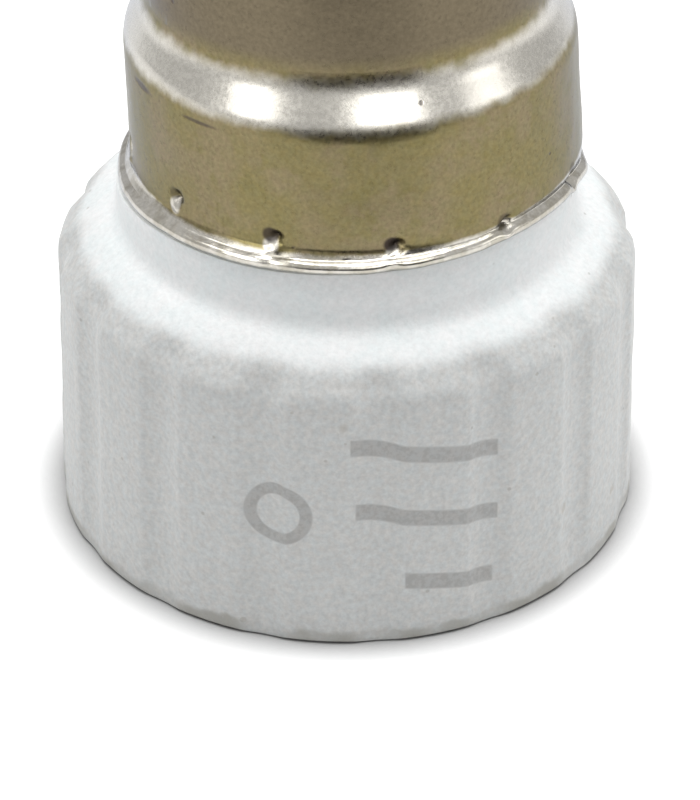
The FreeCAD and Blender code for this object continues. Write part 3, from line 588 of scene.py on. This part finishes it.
def print_mask(finish, bearing, grain):
    """Return how much worn ink lies at each place: a plain ring and three short plain bars."""
    worn = 0.55 + grain.rise(0.35, 0.65) * 0.45
    around = (bearing - RING_BEARING) * RING_MM_PER_DEGREE
    off_ring = hypotenuse(around, finish.z - RING_HEIGHT) - RING_RADIUS
    fields = 1.0 - off_ring.abs().rise(0.28, 0.42)
    for left, right, low in BARS:
        across = (bearing - left).rise(0.0, 0.5) * (1.0 - (bearing - right).rise(-0.5, 0.0))
        level = finish.z - (bearing - left) * BAR_SLOPE - low
        tall = level.rise(0.0, 0.18) * (1.0 - (level - BAR_HEIGHT).rise(-0.18, 0.0))
        fields = fields.most(across * tall)
    return fields * worn * 0.62


def inner_ceramic_finish():
    """Unglazed ceramic of the socket's face and carrier, with dust in its grain."""
    finish = Finish("inner_ceramic_plain")
    grain = finish.noise(finish.place, 4.0, 3.0, 0.7)
    cloud = finish.noise(finish.place, 0.6, 3.0)
    pits = finish.spots(finish.place, 0.8, 0.14, 6.0)
    colour = finish.mix(cloud.rise(0.3, 0.7), (0.80, 0.785, 0.745), (0.85, 0.845, 0.825))
    colour = finish.tint(colour, 0.95 + grain * 0.08)
    colour = finish.mix(pits * 0.5, colour, (0.42, 0.38, 0.32))
    height = grain * 0.04 - pits * 0.05
    return finish.surface(colour, 0.6 + grain * 0.15, height=height, bump_strength=0.5)


def cap_finish(settings):
    """Thin plated sheet: dull and tarnished on its walls, rubbed bright on its step and lip, with
    painted shade in the crimp pits and a painted glint below each crimp.
    """
    finish = Finish("plated_cap_sheet", cap_frame=True)
    place = finish.place
    level = finish.z
    grain = finish.noise(place, 4.4, 2.0, 0.6)
    cloud = finish.noise(place, 0.32, 3.0)
    stain = finish.noise(place, 0.75, 4.0, 0.6)
    hue = finish.noise(place, 2.6, 2.0, 0.6)
    tarnish = finish.mix(cloud.rise(0.4, 0.62), settings.sheet_colour, (0.225, 0.180, 0.106))
    tarnish = finish.mix(stain.rise(0.5, 0.66) * 0.7, tarnish, (0.185, 0.158, 0.066))
    tarnish = finish.mix(hue.rise(0.3, 0.7) * 0.5, tarnish, (0.200, 0.180, 0.094))
    tarnish = finish.mix(level.rise(10.6, 12.0), tarnish, (0.158, 0.130, 0.086))
    tarnish = finish.tint(tarnish, 0.60 + grain * 0.74)
    ragged = (stain - 0.5) * 0.9
    step = (level + ragged).rise(7.7, 8.5) * (1.0 - (level + ragged).rise(9.9, 10.9))
    lip = 1.0 - (level + stain * 0.3).rise(0.85, 1.1)
    worn = finish.noise(place, 0.9, 4.0, 0.65).rise(0.38, 0.6)
    bearing = finish.bearing()
    pitch = 360.0 / settings.crimp_count
    pitches = (bearing - CRIMP_PHASE) / pitch
    off_crimp = arc_length((pitches - pitches.round()).abs() * pitch, SKIRT_RADIUS)
    rise = level - (1.43 - 0.062 * finish.x)
    # Painted shade: each crimp pit is coloured near black and made rougher, strongest at the front
    # and back, weaker at the sides.
    pit = 1.0 - hypotenuse(off_crimp, rise).rise(0.34, 0.56)
    pit = pit * finish.radius().rise(11.4, 11.7)
    pit = pit * (0.45 + (bearing * math.radians(2.0)).cos().most(0.0) * 0.55)
    # Painted glint: just below each crimp the sheet is coloured bright, like the rubbed step and
    # lip.
    painted_glint = 1.0 - hypotenuse(off_crimp, rise + 0.62).rise(0.3, 0.55)
    rubbed_and_glint = step.most(lip * (0.66 + worn * 0.34)).most(painted_glint * 0.9)
    bright = finish.tint(settings.bright_colour, 0.80 + grain * 0.36)
    colour = finish.mix(rubbed_and_glint, tarnish, bright)
    marks = finish.spots(place, 0.45, 0.09, 2.5) * (1.0 - lip)
    for turn, middle, wide, tall in CAP_DARK_MARKS:
        side = arc_length(bearing - turn, CAP_MARK_DISTANCE)
        reach = hypotenuse(side / wide, (level - middle) / tall)
        marks = marks.most(1.0 - (reach + (stain - 0.5) * 0.8).rise(0.4, 1.0))
    colour = finish.mix(marks * 0.7, colour, (0.07, 0.055, 0.05))
    # Painted shade in the crimp pits.
    colour = finish.mix(pit * 0.92, colour, (0.04, 0.03, 0.03))
    roughness = 0.30 - step * 0.03 - lip * 0.07 + (grain - 0.5) * 0.16 + pit * 0.2
    streaks = finish.noise(finish.joined(finish.x * 0.6, finish.y * 0.6, level * 5.0), 1.4, 2.0)
    height = grain * 0.007 + cloud * 0.10 - marks * 0.03 + streaks * lip * 0.007
    return finish.surface(colour, roughness, metallic=1.0, height=height, bump_strength=0.5,
                          specular_tint=(0.66, 0.69, 0.76, 1.0))


def metal_finish(name, colour, dull, roughness, scale, cap_frame=False):
    """Cast or drawn metal with grain, and dull patches of a second colour."""
    finish = Finish(name, cap_frame)
    grain = finish.noise(finish.place, scale, 3.0, 0.7)
    cloud = finish.noise(finish.place, 0.9, 3.0).rise(0.4, 0.65)
    pits = finish.spots(finish.place, 1.8, 0.12, 5.0)
    base = finish.mix(cloud * 0.7, colour, dull)
    base = finish.tint(base, 0.86 + grain * 0.28)
    base = finish.mix(pits * 0.5, base, (0.10, 0.085, 0.07))
    height = grain * 0.012 - pits * 0.02
    return finish.surface(base, roughness + cloud * 0.12 + (grain - 0.5) * 0.12, metallic=1.0,
                          height=height, bump_strength=0.5)


def glass_finish(settings):
    """Black glass with faint flow marks and dust."""
    finish = Finish("black_cap_glass", cap_frame=True)
    flow = finish.noise(finish.place, 0.8, 2.0)
    dust = finish.noise(finish.place, 6.0, 2.0, 0.7)
    spots = finish.spots(finish.place, 1.4, 0.12, 5.0)
    colour = finish.mix(dust.rise(0.55, 0.8) * 0.35, settings.glass, (0.10, 0.10, 0.10))
    colour = finish.mix(spots * 0.3, colour, (0.2, 0.19, 0.18))
    roughness = 0.12 + dust.rise(0.5, 0.8) * 0.25
    return finish.surface(colour, roughness, height=flow * 0.2 + dust * 0.008, bump_strength=0.4,
                          coat_weight=0.3)


def sleeve_finish():
    """Braided glass-fibre sleeve: two sets of slanting strands that pass over and under."""
    finish = Finish("braided_sleeve")
    slant = finish.x * 1.2 + finish.y * 1.2
    strands = ((finish.z + slant) * 7.5).sin().most(((finish.z - slant) * 7.5).sin())
    fuzz = finish.noise(finish.place, 9.0, 2.0, 0.7)
    colour = finish.mix(strands.rise(-0.2, 0.9), (0.62, 0.58, 0.48), (0.87, 0.85, 0.79))
    colour = finish.tint(colour, 0.92 + fuzz * 0.12)
    return finish.surface(colour, 0.75 + fuzz * 0.15, height=strands * 0.03 + fuzz * 0.02,
                          bump_strength=0.7)


def flute_recipe(material):
    """Geometry Nodes that press the flutes into the housing along their bent path.

    Each flute is the space within its radius of a path that follows the wall and bends over
    the shoulder. A point nearer to the path than that is pushed straight away from it.
    """
    inputs = {
        "Count": 16, "Radius": 3.1, "Softness": 0.05, "Phase": math.radians(FLUTE_PHASE),
        "Foot Distance": 19.24, "Draft": math.radians(1.0437), "Straight Height": 15.0,
        "Bend Radius": 5.5, "Bend Turn": math.radians(60.0), "Unevenness": 0.05, "Seed": 7.0,
    }
    graph, mesh, size = new_recipe("press_flutes", inputs)
    position, _, _, z, radius, angle, number, middle = nearest_repeat(graph, size)
    off = angle - middle
    out = radius * off.cos()
    side = radius * off.sin()
    slant = size["Draft"].sin()
    upright = size["Draft"].cos()
    bend_out = size["Foot Distance"] - size["Straight Height"] * slant / upright
    centre_out = bend_out - size["Bend Radius"] * upright
    centre_up = size["Straight Height"] - size["Bend Radius"] * slant
    wander = graph.noise(graph.joined(number, size["Seed"], 0.0), 3.1)
    turn = (z - centre_up).math("ARCTAN2", out - centre_out)
    last = size["Bend Turn"] + (wander - 0.5) * 0.3
    fading = 1.0 - turn.rise(last - 0.5, last)
    turn = turn.most(size["Draft"])
    bent_out = centre_out + size["Bend Radius"] * turn.cos()
    bent_up = centre_up + size["Bend Radius"] * turn.sin()
    on_bend = z.above(size["Straight Height"])
    plain_out = size["Foot Distance"] - z * slant / upright
    path_out = on_bend * bent_out + (1.0 - on_bend) * plain_out
    path_up = on_bend * bent_up + (1.0 - on_bend) * z
    away_out = out - path_out
    away_up = z - path_up
    away = (away_out * away_out + away_up * away_up + side * side).sqrt()
    gap = away - size["Radius"]
    pushed = (gap + (gap * gap + size["Softness"] * size["Softness"]).sqrt()) * 0.5
    excess = (pushed - gap) / away
    near = 1.0 - gap.rise(0.5, 1.5)
    footing = 0.4 + z.rise(0.2, 2.4) * 0.6
    excess = excess * near * fading * footing
    new_out = out + away_out * excess
    new_side = side + side * excess
    new_up = z + away_up * excess
    cosine, sine = middle.cos(), middle.sin()
    new_x = new_out * cosine - new_side * sine
    new_y = new_out * sine + new_side * cosine
    outer = radius.rise(14.2, 14.6).most(z.rise(16.0, 16.6) * radius.above(12.6))
    seed_shift = graph.joined(size["Seed"], size["Seed"] * 2.0, 0.0)
    moved = graph.vector("ADD", position, seed_shift)
    waves = graph.noise(moved, 0.22, 2.0) - 0.5
    ripples = graph.noise(moved, 0.9, 2.0) - 0.5
    swell = (waves * 3.2 + ripples) * size["Unevenness"] * outer * z.rise(0.0, 0.8)
    pressed = graph.joined(new_x, new_y, new_up)
    outward = graph.scaled(graph.node("GeometryNodeInputNormal"), swell)
    return close_recipe(graph, mesh, graph.vector("ADD", pressed, outward), material)


def lip_drop(angle):
    """How far the cap's lip, and the neck under it, lie below their plane at an angle."""
    part = min(1.0, max(0.0, math.sin(angle) / LIP_FRONT_REACH + 1.0))
    return LIP_FRONT_DROP + LIP_DROP * part * part * (3.0 - 2.0 * part)


def housing_rings():
    """The rings of the ceramic housing, up its outside and down through the inside."""
    foot = (WALL_FOOT_RADIUS, FOOT_ROUND)
    wall = (16.2, 12.0)
    wall_top = (16.14, 15.37)
    shoulder = (15.8195, 16.2506)
    hollow = (13.4026, 18.2)
    neck_foot = (NECK_RADIUS, 19.205)
    outside = arc((16.07, FOOT_ROUND), (16.07, 0.0), foot, 0.12)
    outside += straight(foot, wall, 0.62)
    outside += straight(wall, wall_top, 0.28)
    outside += arc((14.77, 15.37), wall_top, shoulder, 0.13)
    outside += arc((10.5338, 11.8154), shoulder, hollow, 0.15)
    outside += arc((13.85, 19.205), hollow, neck_foot, 0.14)
    outside += straight(neck_foot, (NECK_RADIUS, 20.6), 0.28)
    rings = plain_rings(outside)
    ledge = CAP_PLACE @ Vector((0.0, 0.0, -LEDGE_GAP))

    def neck_top(angle, radius, drop):
        point = on_circle(radius, 0.0, angle)
        level = ledge.z + math.tan(CAP_LEAN) * (point.x - ledge.x)
        point.z = level - drop - lip_drop(angle)
        return point

    def spigot_top(angle):
        flat = on_circle(SPIGOT_RADIUS, 0.0, angle)
        flat.z = (SPIGOT_TOP - CAP_SEAT.z - flat.x * math.sin(CAP_LEAN)) / math.cos(CAP_LEAN)
        return CAP_PLACE @ flat

    edge = [(NECK_RADIUS, 0.12), (12.715, 0.035), (12.63, 0.0)]
    rings += [lambda a, e=e: neck_top(a, e[0], e[1]) for e in edge]
    spigot = [(SPIGOT_RADIUS, -LEDGE_GAP), (SPIGOT_RADIUS, 0.5), (GROOVE_RADIUS, 0.5)]
    spigot += [(GROOVE_RADIUS, 2.7), (SPIGOT_RADIUS, 2.7)]
    rings += [lambda a, p=p: CAP_PLACE @ on_circle(p[0], p[1], a) for p in spigot]
    rings.append(spigot_top)
    inside = [(WIRE_BORE_RADIUS, SPIGOT_TOP), (WIRE_BORE_RADIUS, CHAMBER_CEILING)]
    inside += [(CHAMBER_RADIUS, CHAMBER_CEILING), (CHAMBER_RADIUS, RIM_DEPTH)]
    inside += [(RIM_BORE_RADIUS, RIM_DEPTH)]
    inside += arc((14.15, 0.25), (RIM_BORE_RADIUS, 0.25), (14.15, 0.0), 0.1)
    inside += [(14.15, 0.0), (15.2, 0.0)]
    return rings + plain_rings(inside)


def cut_screw_holes(piece):
    """Cut the two screw holes through the housing's ceiling and spigot."""
    shape = bmesh.new()
    radius = SCREW_HOLE_RADIUS * MM
    for side in (-1, 1):
        place = Matrix.Translation(Vector((0.0, side * SCREW_DISTANCE, 21.4)) * MM)
        bmesh.ops.create_cone(shape, cap_ends=True, segments=48, radius1=radius, radius2=radius,
                              depth=14.0 * MM, matrix=place)
    cutter = new_mesh("screw_hole_cutter", shape)
    tool = add_object("screw_hole_cutter", cutter)
    holes = piece.modifiers.new("screw_holes", "BOOLEAN")
    holes.operation = "DIFFERENCE"
    holes.solver = "MANIFOLD"
    holes.object = tool
    apply_modifiers(piece)
    bpy.data.objects.remove(tool)
    bpy.data.meshes.remove(cutter)


class ADAPTER_OT_housing(bpy.types.Operator):
    """Build the fluted ceramic housing"""

    bl_idname = "adapter.housing"
    bl_label = "Ceramic Housing"

    def execute(self, context):
        settings = context.scene.adapter_ceramic
        material = ceramic_finish(settings)
        housing = lathe("fluted_housing", housing_rings(), 576)
        cut_screw_holes(housing)
        radius = settings.flute_radius / MM
        foot = WALL_FOOT_RADIUS + radius - settings.flute_depth / MM
        add_recipe(housing, flute_recipe(material), {
            "Count": settings.flute_count, "Radius": radius, "Foot Distance": foot,
            "Softness": settings.flute_softness / MM, "Unevenness": settings.unevenness / MM,
        })
        apply_modifiers(housing)
        smooth(housing.data)
        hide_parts("housing_body")
        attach(housing, "holder")
        return {"FINISHED"}


def rounded(before, corner, after, radius, step):
    """Points of the arc that rounds a corner of an outline."""
    corner = Vector(corner)
    one = (Vector(before) - corner).normalized()
    other = (Vector(after) - corner).normalized()
    half = one.angle(other) / 2
    centre = corner + (one + other).normalized() * radius / math.sin(half)
    reach = radius / math.tan(half)
    return arc(tuple(centre), tuple(corner + one * reach), tuple(corner + other * reach), step)


def cap_rings():
    """The rings of the cap's sheet in the cap's own frame, up its outside and down its inside."""
    mouth = (12.15, 0.0)
    lip_foot = (12.54, 0.0)
    lip_middle = (12.54, 0.36)
    brim = (12.663, 0.698)
    crease = (12.47, 0.76)
    skirt = (12.38, 3.4)
    low = (12.27, 8.1)
    high = (11.0, 10.2)
    crown = (11.0, 22.3)
    crown_middle = (10.0, 22.3)
    outline = straight(mouth, lip_foot, 0.2)
    outline += arc(lip_middle, lip_foot, brim, 0.05)
    outline += rounded(brim, crease, low, 0.13, 0.04)
    outline += straight(outline[-1], skirt, 0.115)
    bend = rounded(skirt, low, high, 2.6, 0.1)
    outline += straight(skirt, bend[0], 0.4) + bend
    outline += rounded(low, high, crown, 3.2, 0.1)
    outline += straight(outline[-1], crown, 0.7)
    outline += arc(crown_middle, crown, (10.0, 23.3), 0.14)
    outline += [(10.0, 23.3), (9.5, 23.3), (9.4, 23.2), (9.4, 23.0)]
    inner_crown = (10.7, 22.3)
    inner_high = (10.7, 10.12)
    inner_low = (11.97, 8.02)
    inner_foot = (12.15, 0.7)
    outline += arc(crown_middle, (10.0, 23.0), inner_crown, 0.16)
    bend = rounded(inner_crown, inner_high, inner_low, 3.5, 0.16)
    outline += straight(inner_crown, bend[0], 1.2) + bend
    outline += rounded(inner_high, inner_low, inner_foot, 2.3, 0.16)
    outline += straight(outline[-1], inner_foot, 0.5)
    outline.append(mouth)
    return plain_rings(outline)


def crimp_recipe(material):
    """Geometry Nodes that set the lip off centre, make it wander and stamp the crimp marks."""
    inputs = {
        "Count": 12, "Phase": math.radians(CRIMP_PHASE), "Crimp Height": 1.45, "Crimp Depth": 0.5,
        "Crimp Width": 0.34, "Lip Shift": -0.31, "Lip Forward": 0.2, "Skirt Shift": 0.28,
        "Step Tilt": 0.0175, "Lip Wander": 0.12, "Seed": 3.0,
    }
    graph, mesh, size = new_recipe("stamp_crimps", inputs)
    position, x, y, z, radius, angle, number, stamped_at = nearest_repeat(graph, size)
    chance = graph.noise(graph.joined(number, size["Seed"], 0.0), 2.7)
    side = (angle - stamped_at + (chance - 0.5) * 0.05) * SKIRT_RADIUS
    rise = z - size["Crimp Height"] + stamped_at.cos() * 0.78
    width = size["Crimp Width"] * (0.55 + chance * 0.9)
    spread = (side * side + rise * rise) / (width * width)
    pit = spread.fade() * size["Crimp Depth"] * (0.4 + chance * 1.2)
    below = rise + 0.62
    swell = (side * side / 0.12 + below * below / 0.06).fade() * 0.14
    skirt = 1.0 - z.rise(3.0, 3.4)
    lip = 1.0 - z.rise(0.65, 1.3)
    notch = side.bump(0.0, 0.42) * 0.07 * lip * (-stamped_at.sin()).rise(0.45, 0.95)
    circling = graph.joined(angle.cos() * 2.0, angle.sin() * 2.0, size["Seed"])
    wander = (graph.noise(circling, 1.3, 3.0, 0.65) - 0.5) * 2.0 * size["Lip Wander"]
    lift = graph.noise(circling, 2.2, 2.0).rise(0.3, 0.8) * 0.08 * lip
    walls = z.rise(1.2, 3.0) * (1.0 - z.rise(7.0, 8.0))
    dents = (graph.noise(position, 0.25, 2.0) - 0.5) * 0.16 * walls
    tip = angle.bump(-0.16, 0.09) * 0.26
    flush = angle.bump(0.36, 0.40) * -0.38
    change = (swell - pit) * skirt - notch + dents + (wander + tip + flush) * lip
    seated = 1.0 - z.rise(10.0, 16.0)
    shift = size["Lip Shift"] * lip + (size["Skirt Shift"] - z * 0.0135) * seated
    new_x = x + x / radius * change + shift
    new_y = y + y / radius * change - size["Lip Forward"] * lip
    part = angle.sin() / LIP_FRONT_REACH + 1.0
    drop = part.rise(0.0, 1.0) * LIP_DROP + LIP_FRONT_DROP
    drop = drop * (1.0 - z.rise(0.2, 5.5))
    level = z + lift - drop - x * size["Step Tilt"] * z.rise(1.0, 6.0) * seated
    return close_recipe(graph, mesh, graph.joined(new_x, new_y, level), material)


def seat_on_cap(mesh):
    """Move a mesh from the cap's own frame to its place on the housing."""
    shift = Matrix.Scale(MM, 4) @ CAP_PLACE @ Matrix.Scale(1.0 / MM, 4)
    mesh.transform(shift)


class ADAPTER_OT_cap(bpy.types.Operator):
    """Build the stepped metal cap with its crimps and rolled lip"""

    bl_idname = "adapter.cap"
    bl_label = "Metal Cap"

    def execute(self, context):
        settings = context.scene.adapter_cap
        shell = lathe("stepped_cap", cap_rings(), 480)
        add_recipe(shell, crimp_recipe(cap_finish(settings)), {
            "Count": settings.crimp_count, "Crimp Depth": settings.crimp_depth / MM,
            "Lip Wander": settings.lip_wander / MM,
        })
        apply_modifiers(shell)
        seat_on_cap(shell.data)
        smooth(shell.data, 40.0)
        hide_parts("cap_shell")
        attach(shell, "holder")
        return {"FINISHED"}


def solder_blob(centre, seed):
    """Make one uneven solder dome with the plug that fills the tube below it."""
    section = [(0.0, -0.78), (0.62, -0.78), (0.62, -0.02), (1.3, -0.02), (1.8, 0.03), (1.9, 0.2)]
    section += [(1.9 * math.cos(a), 0.2 + 0.88 * math.sin(a)) for a in
                [math.radians(d) for d in (14, 26, 38, 50, 62, 74, 83)]]
    section.append((0.0, 1.08))
    mesh = turned("solder_blob", section, 56)
    for vertex in mesh.vertices:
        point = vertex.co / MM
        if point.z < 0.05:
            continue
        wander = noise.noise(Vector((point.x * 0.7, point.y * 0.7, seed * 5.3 + point.z)))
        swirl = noise.noise(Vector((point.x * 1.9 + seed, point.y * 1.9, point.z * 2.0)))
        point.z = min(1.1, point.z * (0.86 + wander * 0.25) + swirl * 0.05)
        spread = 0.92 + wander * 0.12
        vertex.co = Vector((point.x * spread, point.y * spread, point.z)) * MM
    mesh.transform(Matrix.Translation(centre * MM))
    return mesh


class ADAPTER_OT_solder(bpy.types.Operator):
    """Build the solder domes on the two contact plates"""

    bl_idname = "adapter.solder"
    bl_label = "Solder Domes"

    def execute(self, context):
        colour = context.scene.adapter_fittings.solder
        material = metal_finish("contact_solder", colour, (0.42, 0.42, 0.43), 0.3, 2.5, True)
        shape = bmesh.new()
        for side, seed in ((TIP_SPREAD, 1.0), (-TIP_SPREAD, 2.0)):
            blob = solder_blob(Vector((side, 0.0, SOLDER_FOOT)), seed)
            shape.from_mesh(blob)
            bpy.data.meshes.remove(blob)
        bmesh.ops.recalc_face_normals(shape, faces=shape.faces)
        mesh = new_mesh("solder_domes", shape)
        seat_on_cap(mesh)
        smooth(mesh, 60.0)
        assign(mesh, material)
        domes = add_object("solder_domes", mesh)
        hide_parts("tip_solder")
        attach(domes, "holder")
        return {"FINISHED"}


class ADAPTER_OT_socket(bpy.types.Operator):
    """Finish the socket's ceramic face and contact carrier"""

    bl_idname = "adapter.socket"
    bl_label = "Socket Ceramics"

    def execute(self, context):
        dress(inner_ceramic_finish(), "socket_face", "contact_carrier")
        return {"FINISHED"}


class ADAPTER_OT_contacts(bpy.types.Operator):
    """Finish the contact springs, the bayonet pins and the contact plates"""

    bl_idname = "adapter.contacts"
    bl_label = "Contacts and Pins"

    def execute(self, context):
        brass = context.scene.adapter_fittings.brass
        spring = metal_finish("spring_brass_sheet", brass, (0.50, 0.37, 0.20), 0.28, 6.0)
        dress(spring, "live_contact", "neutral_contact")
        turned_brass = metal_finish("turned_pin_brass", brass, (0.42, 0.33, 0.19), 0.3, 7.0, True)
        dress(turned_brass, "bayonet_pins", "live_tip", "neutral_tip")
        return {"FINISHED"}


class ADAPTER_OT_fasteners(bpy.types.Operator):
    """Finish the screws, lock washers and nuts"""

    bl_idname = "adapter.fasteners"
    bl_label = "Fasteners"

    def execute(self, context):
        steel = context.scene.adapter_fittings.steel
        plated = metal_finish("plated_screw_steel", steel, (0.42, 0.41, 0.38), 0.3, 8.0)
        dress(plated, "face_screws", "lock_washers", "screw_nuts")
        return {"FINISHED"}


class ADAPTER_OT_crown(bpy.types.Operator):
    """Finish the black glass, the wires and their sleeves"""

    bl_idname = "adapter.crown"
    bl_label = "Glass and Wires"

    def execute(self, context):
        dress(glass_finish(context.scene.adapter_fittings), "cap_insulator")
        copper = metal_finish("stranded_copper", (0.72, 0.40, 0.26), (0.48, 0.28, 0.20), 0.34, 6.0)
        dress(copper, "live_wire", "neutral_wire")
        dress(sleeve_finish(), "live_sleeve", "neutral_sleeve")
        return {"FINISHED"}


def softbox(name, azimuth, elevation, away, size, power, diffuse=True, glossy=True):
    """Add an area light aimed at the object. Azimuth 0 is in front, and 90 is to the right."""
    light = bpy.data.lights.new(name, "AREA")
    light.shape = "RECTANGLE"
    light.size, light.size_y = size[0] * MM, size[1] * MM
    light.energy = power
    box = add_object(name, light)
    turn, lift = math.radians(azimuth), math.radians(elevation)
    direction = Vector((math.sin(turn) * math.cos(lift), -math.cos(turn) * math.cos(lift),
                        math.sin(lift)))
    box.location = (LIGHT_TARGET + direction * away) * MM
    box.rotation_euler = direction.to_track_quat("Z", "Y").to_euler()
    box.visible_diffuse = diffuse
    box.visible_glossy = glossy
    box.visible_camera = False


def stand_card(card):
    """Stand the dark card in front of the object, where only its metal shows it."""
    card.location = CARD_PLACE * MM
    card.rotation_euler = Euler((math.pi / 2, 0.0, 0.0))
    card.visible_camera = False
    card.visible_diffuse = False
    card.visible_shadow = False


def plain_sheet(name, width, depth):
    """Make a flat sheet centred on the origin and facing up."""
    x, y = width * MM / 2, depth * MM / 2
    mesh = bpy.data.meshes.new(name)
    mesh.from_pydata([(-x, -y, 0), (x, -y, 0), (x, y, 0), (-x, y, 0)], [], [(0, 1, 2, 3)])
    return add_object(name, mesh)


def floor_finish(colour):
    """A matte floor that is white to the camera and in metal, with a painted grey contact shadow
    close to the foot.
    """
    finish = Finish("white_floor")
    pale = finish.node("ShaderNodeBsdfDiffuse", None, {"Color": (*colour, 1.0)})
    shade = finish.node("ShaderNodeBsdfDiffuse", None, {"Color": (0.28, 0.28, 0.28, 1.0)})
    reach = {"Distance": 3.7 * MM}
    open_sky = finish.node("ShaderNodeAmbientOcclusion", {"samples": 12}, reach, "AO")
    glow = finish.node("ShaderNodeEmission", None, {"Color": (1, 1, 1, 1), "Strength": FLOOR_GLOW})
    path = finish.node("ShaderNodeLightPath", None, None, "Is Camera Ray")
    seen = path.most(path.output("Is Glossy Ray"))
    dark = finish.node("ShaderNodeEmission", None, {"Strength": 0.0})
    lit = finish.node("ShaderNodeMixShader", None, [seen, dark, glow])
    both = finish.node("ShaderNodeAddShader", None, [pale, lit])
    # Painted shadow: near the foot the floor turns grey by how much of the sky is hidden.
    clear = 1.0 - seen * (1.0 - open_sky.rise(0.3, 1.0))
    shaded = finish.node("ShaderNodeMixShader", None, [clear, shade, both])
    finish.node("ShaderNodeOutputMaterial", None, {"Surface": shaded}, None)
    return finish.material


def card_finish():
    """Dead black card."""
    finish = Finish("black_card")
    cloud = finish.noise(finish.place, 0.01)
    colour = finish.mix(cloud, (0.012, 0.010, 0.014), (0.018, 0.015, 0.02))
    return finish.surface(colour, 0.9, specular_ior_level=0.0)


class ADAPTER_OT_stage(bpy.types.Operator):
    """Build the floor, the white room, the lights and the camera"""

    bl_idname = "adapter.stage"
    bl_label = "Stage"

    def execute(self, context):
        settings = context.scene.adapter_stage
        self.make_world(context.scene, settings)
        floor = plain_sheet("floor", FLOOR_WIDTH, FLOOR_WIDTH)
        assign(floor.data, floor_finish(settings.floor_colour))
        card = plain_sheet("dark_card", *CARD_SIZE)
        assign(card.data, card_finish())
        stand_card(card)
        softbox("top_softbox", 180.0, 88.0, 620.0, (420.0, 380.0), settings.key_power)
        for azimuth, share in ((-105.0, 0.21), (105.0, 0.27)):
            softbox("side_softbox", azimuth, 35.0, 620.0, (300.0, 260.0),
                    settings.key_power * share, glossy=False)
        for name, azimuth, elevation, size, power in METAL_SOFTBOXES:
            softbox(name, azimuth, elevation, 600.0, size, power, diffuse=False)
        self.make_camera(context.scene)
        return {"FINISHED"}

    @staticmethod
    def make_world(scene, settings):
        """A room that gives an even light, white to the camera and pale grey in metal."""
        world = bpy.data.worlds.new("white_room")
        world.use_nodes = True
        graph = Graph(world.node_tree)
        world.node_tree.nodes.clear()
        path = graph.node("ShaderNodeLightPath", None, None, "Is Camera Ray")
        seen = path.most(path.output("Is Transmission Ray"))
        level = settings.sky_level + path.output("Is Glossy Ray") * 0.3
        level = level * (1.0 - seen) + seen
        back = graph.node("ShaderNodeBackground", None, {"Color": (1, 1, 1, 1), "Strength": level})
        graph.node("ShaderNodeOutputWorld", None, {"Surface": back}, None)
        scene.world = world

    @staticmethod
    def make_camera(scene):
        """A camera where the photograph was taken from."""
        lens = bpy.data.cameras.new("photo_camera")
        lens.lens = CAMERA_LENS
        lens.sensor_width = 36.0
        lens.clip_start = 0.01
        camera = add_object("photo_camera", lens)
        back = Vector((0.0, -math.cos(CAMERA_RISE), math.sin(CAMERA_RISE)))
        camera.location = (CAMERA_TARGET + back * CAMERA_DISTANCE) * MM
        camera.rotation_euler = Euler((math.pi / 2 - CAMERA_RISE, 0.0, 0.0))
        scene.camera = camera
        scene.view_settings.view_transform = "Standard"


class ADAPTER_PT_panel(bpy.types.Panel):
    """The adapter's sizes, colours and pieces"""

    bl_label = "Lamp Socket Adapter"
    bl_idname = "ADAPTER_PT_panel"
    bl_space_type = "VIEW_3D"
    bl_region_type = "UI"
    bl_category = "Adapter"

    def draw(self, context):
        for group, _ in SETTING_GROUPS:
            column = self.layout.column()
            column.label(text=group.split("_")[1].title())
            settings = getattr(context.scene, group)
            for name in settings.__annotations__:
                column.prop(settings, name)
        for piece in PIECES:
            self.layout.operator(piece.bl_idname)


SETTING_GROUPS = (
    ("adapter_ceramic", AdapterCeramic), ("adapter_cap", AdapterCap),
    ("adapter_fittings", AdapterFittings), ("adapter_stage", AdapterStage),
)
PIECES = (
    ADAPTER_OT_stage, ADAPTER_OT_housing, ADAPTER_OT_cap, ADAPTER_OT_solder, ADAPTER_OT_socket,
    ADAPTER_OT_contacts, ADAPTER_OT_fasteners, ADAPTER_OT_crown,
)
CLASSES = tuple(kind for _, kind in SETTING_GROUPS) + PIECES + (ADAPTER_PT_panel,)


def register():
    for kind in CLASSES:
        bpy.utils.register_class(kind)
    for group, kind in SETTING_GROUPS:
        setattr(bpy.types.Scene, group, PointerProperty(type=kind))


def unregister():
    for group, _ in SETTING_GROUPS:
        delattr(bpy.types.Scene, group)
    for kind in reversed(CLASSES):
        bpy.utils.unregister_class(kind)


def main():
    """Build the whole scene."""
    register()
    bpy.ops.adapter.stage()
    bpy.ops.adapter.housing()
    bpy.ops.adapter.cap()
    bpy.ops.adapter.solder()
    bpy.ops.adapter.socket()
    bpy.ops.adapter.contacts()
    bpy.ops.adapter.fasteners()
    bpy.ops.adapter.crown()


if __name__ == "__main__":
    main()
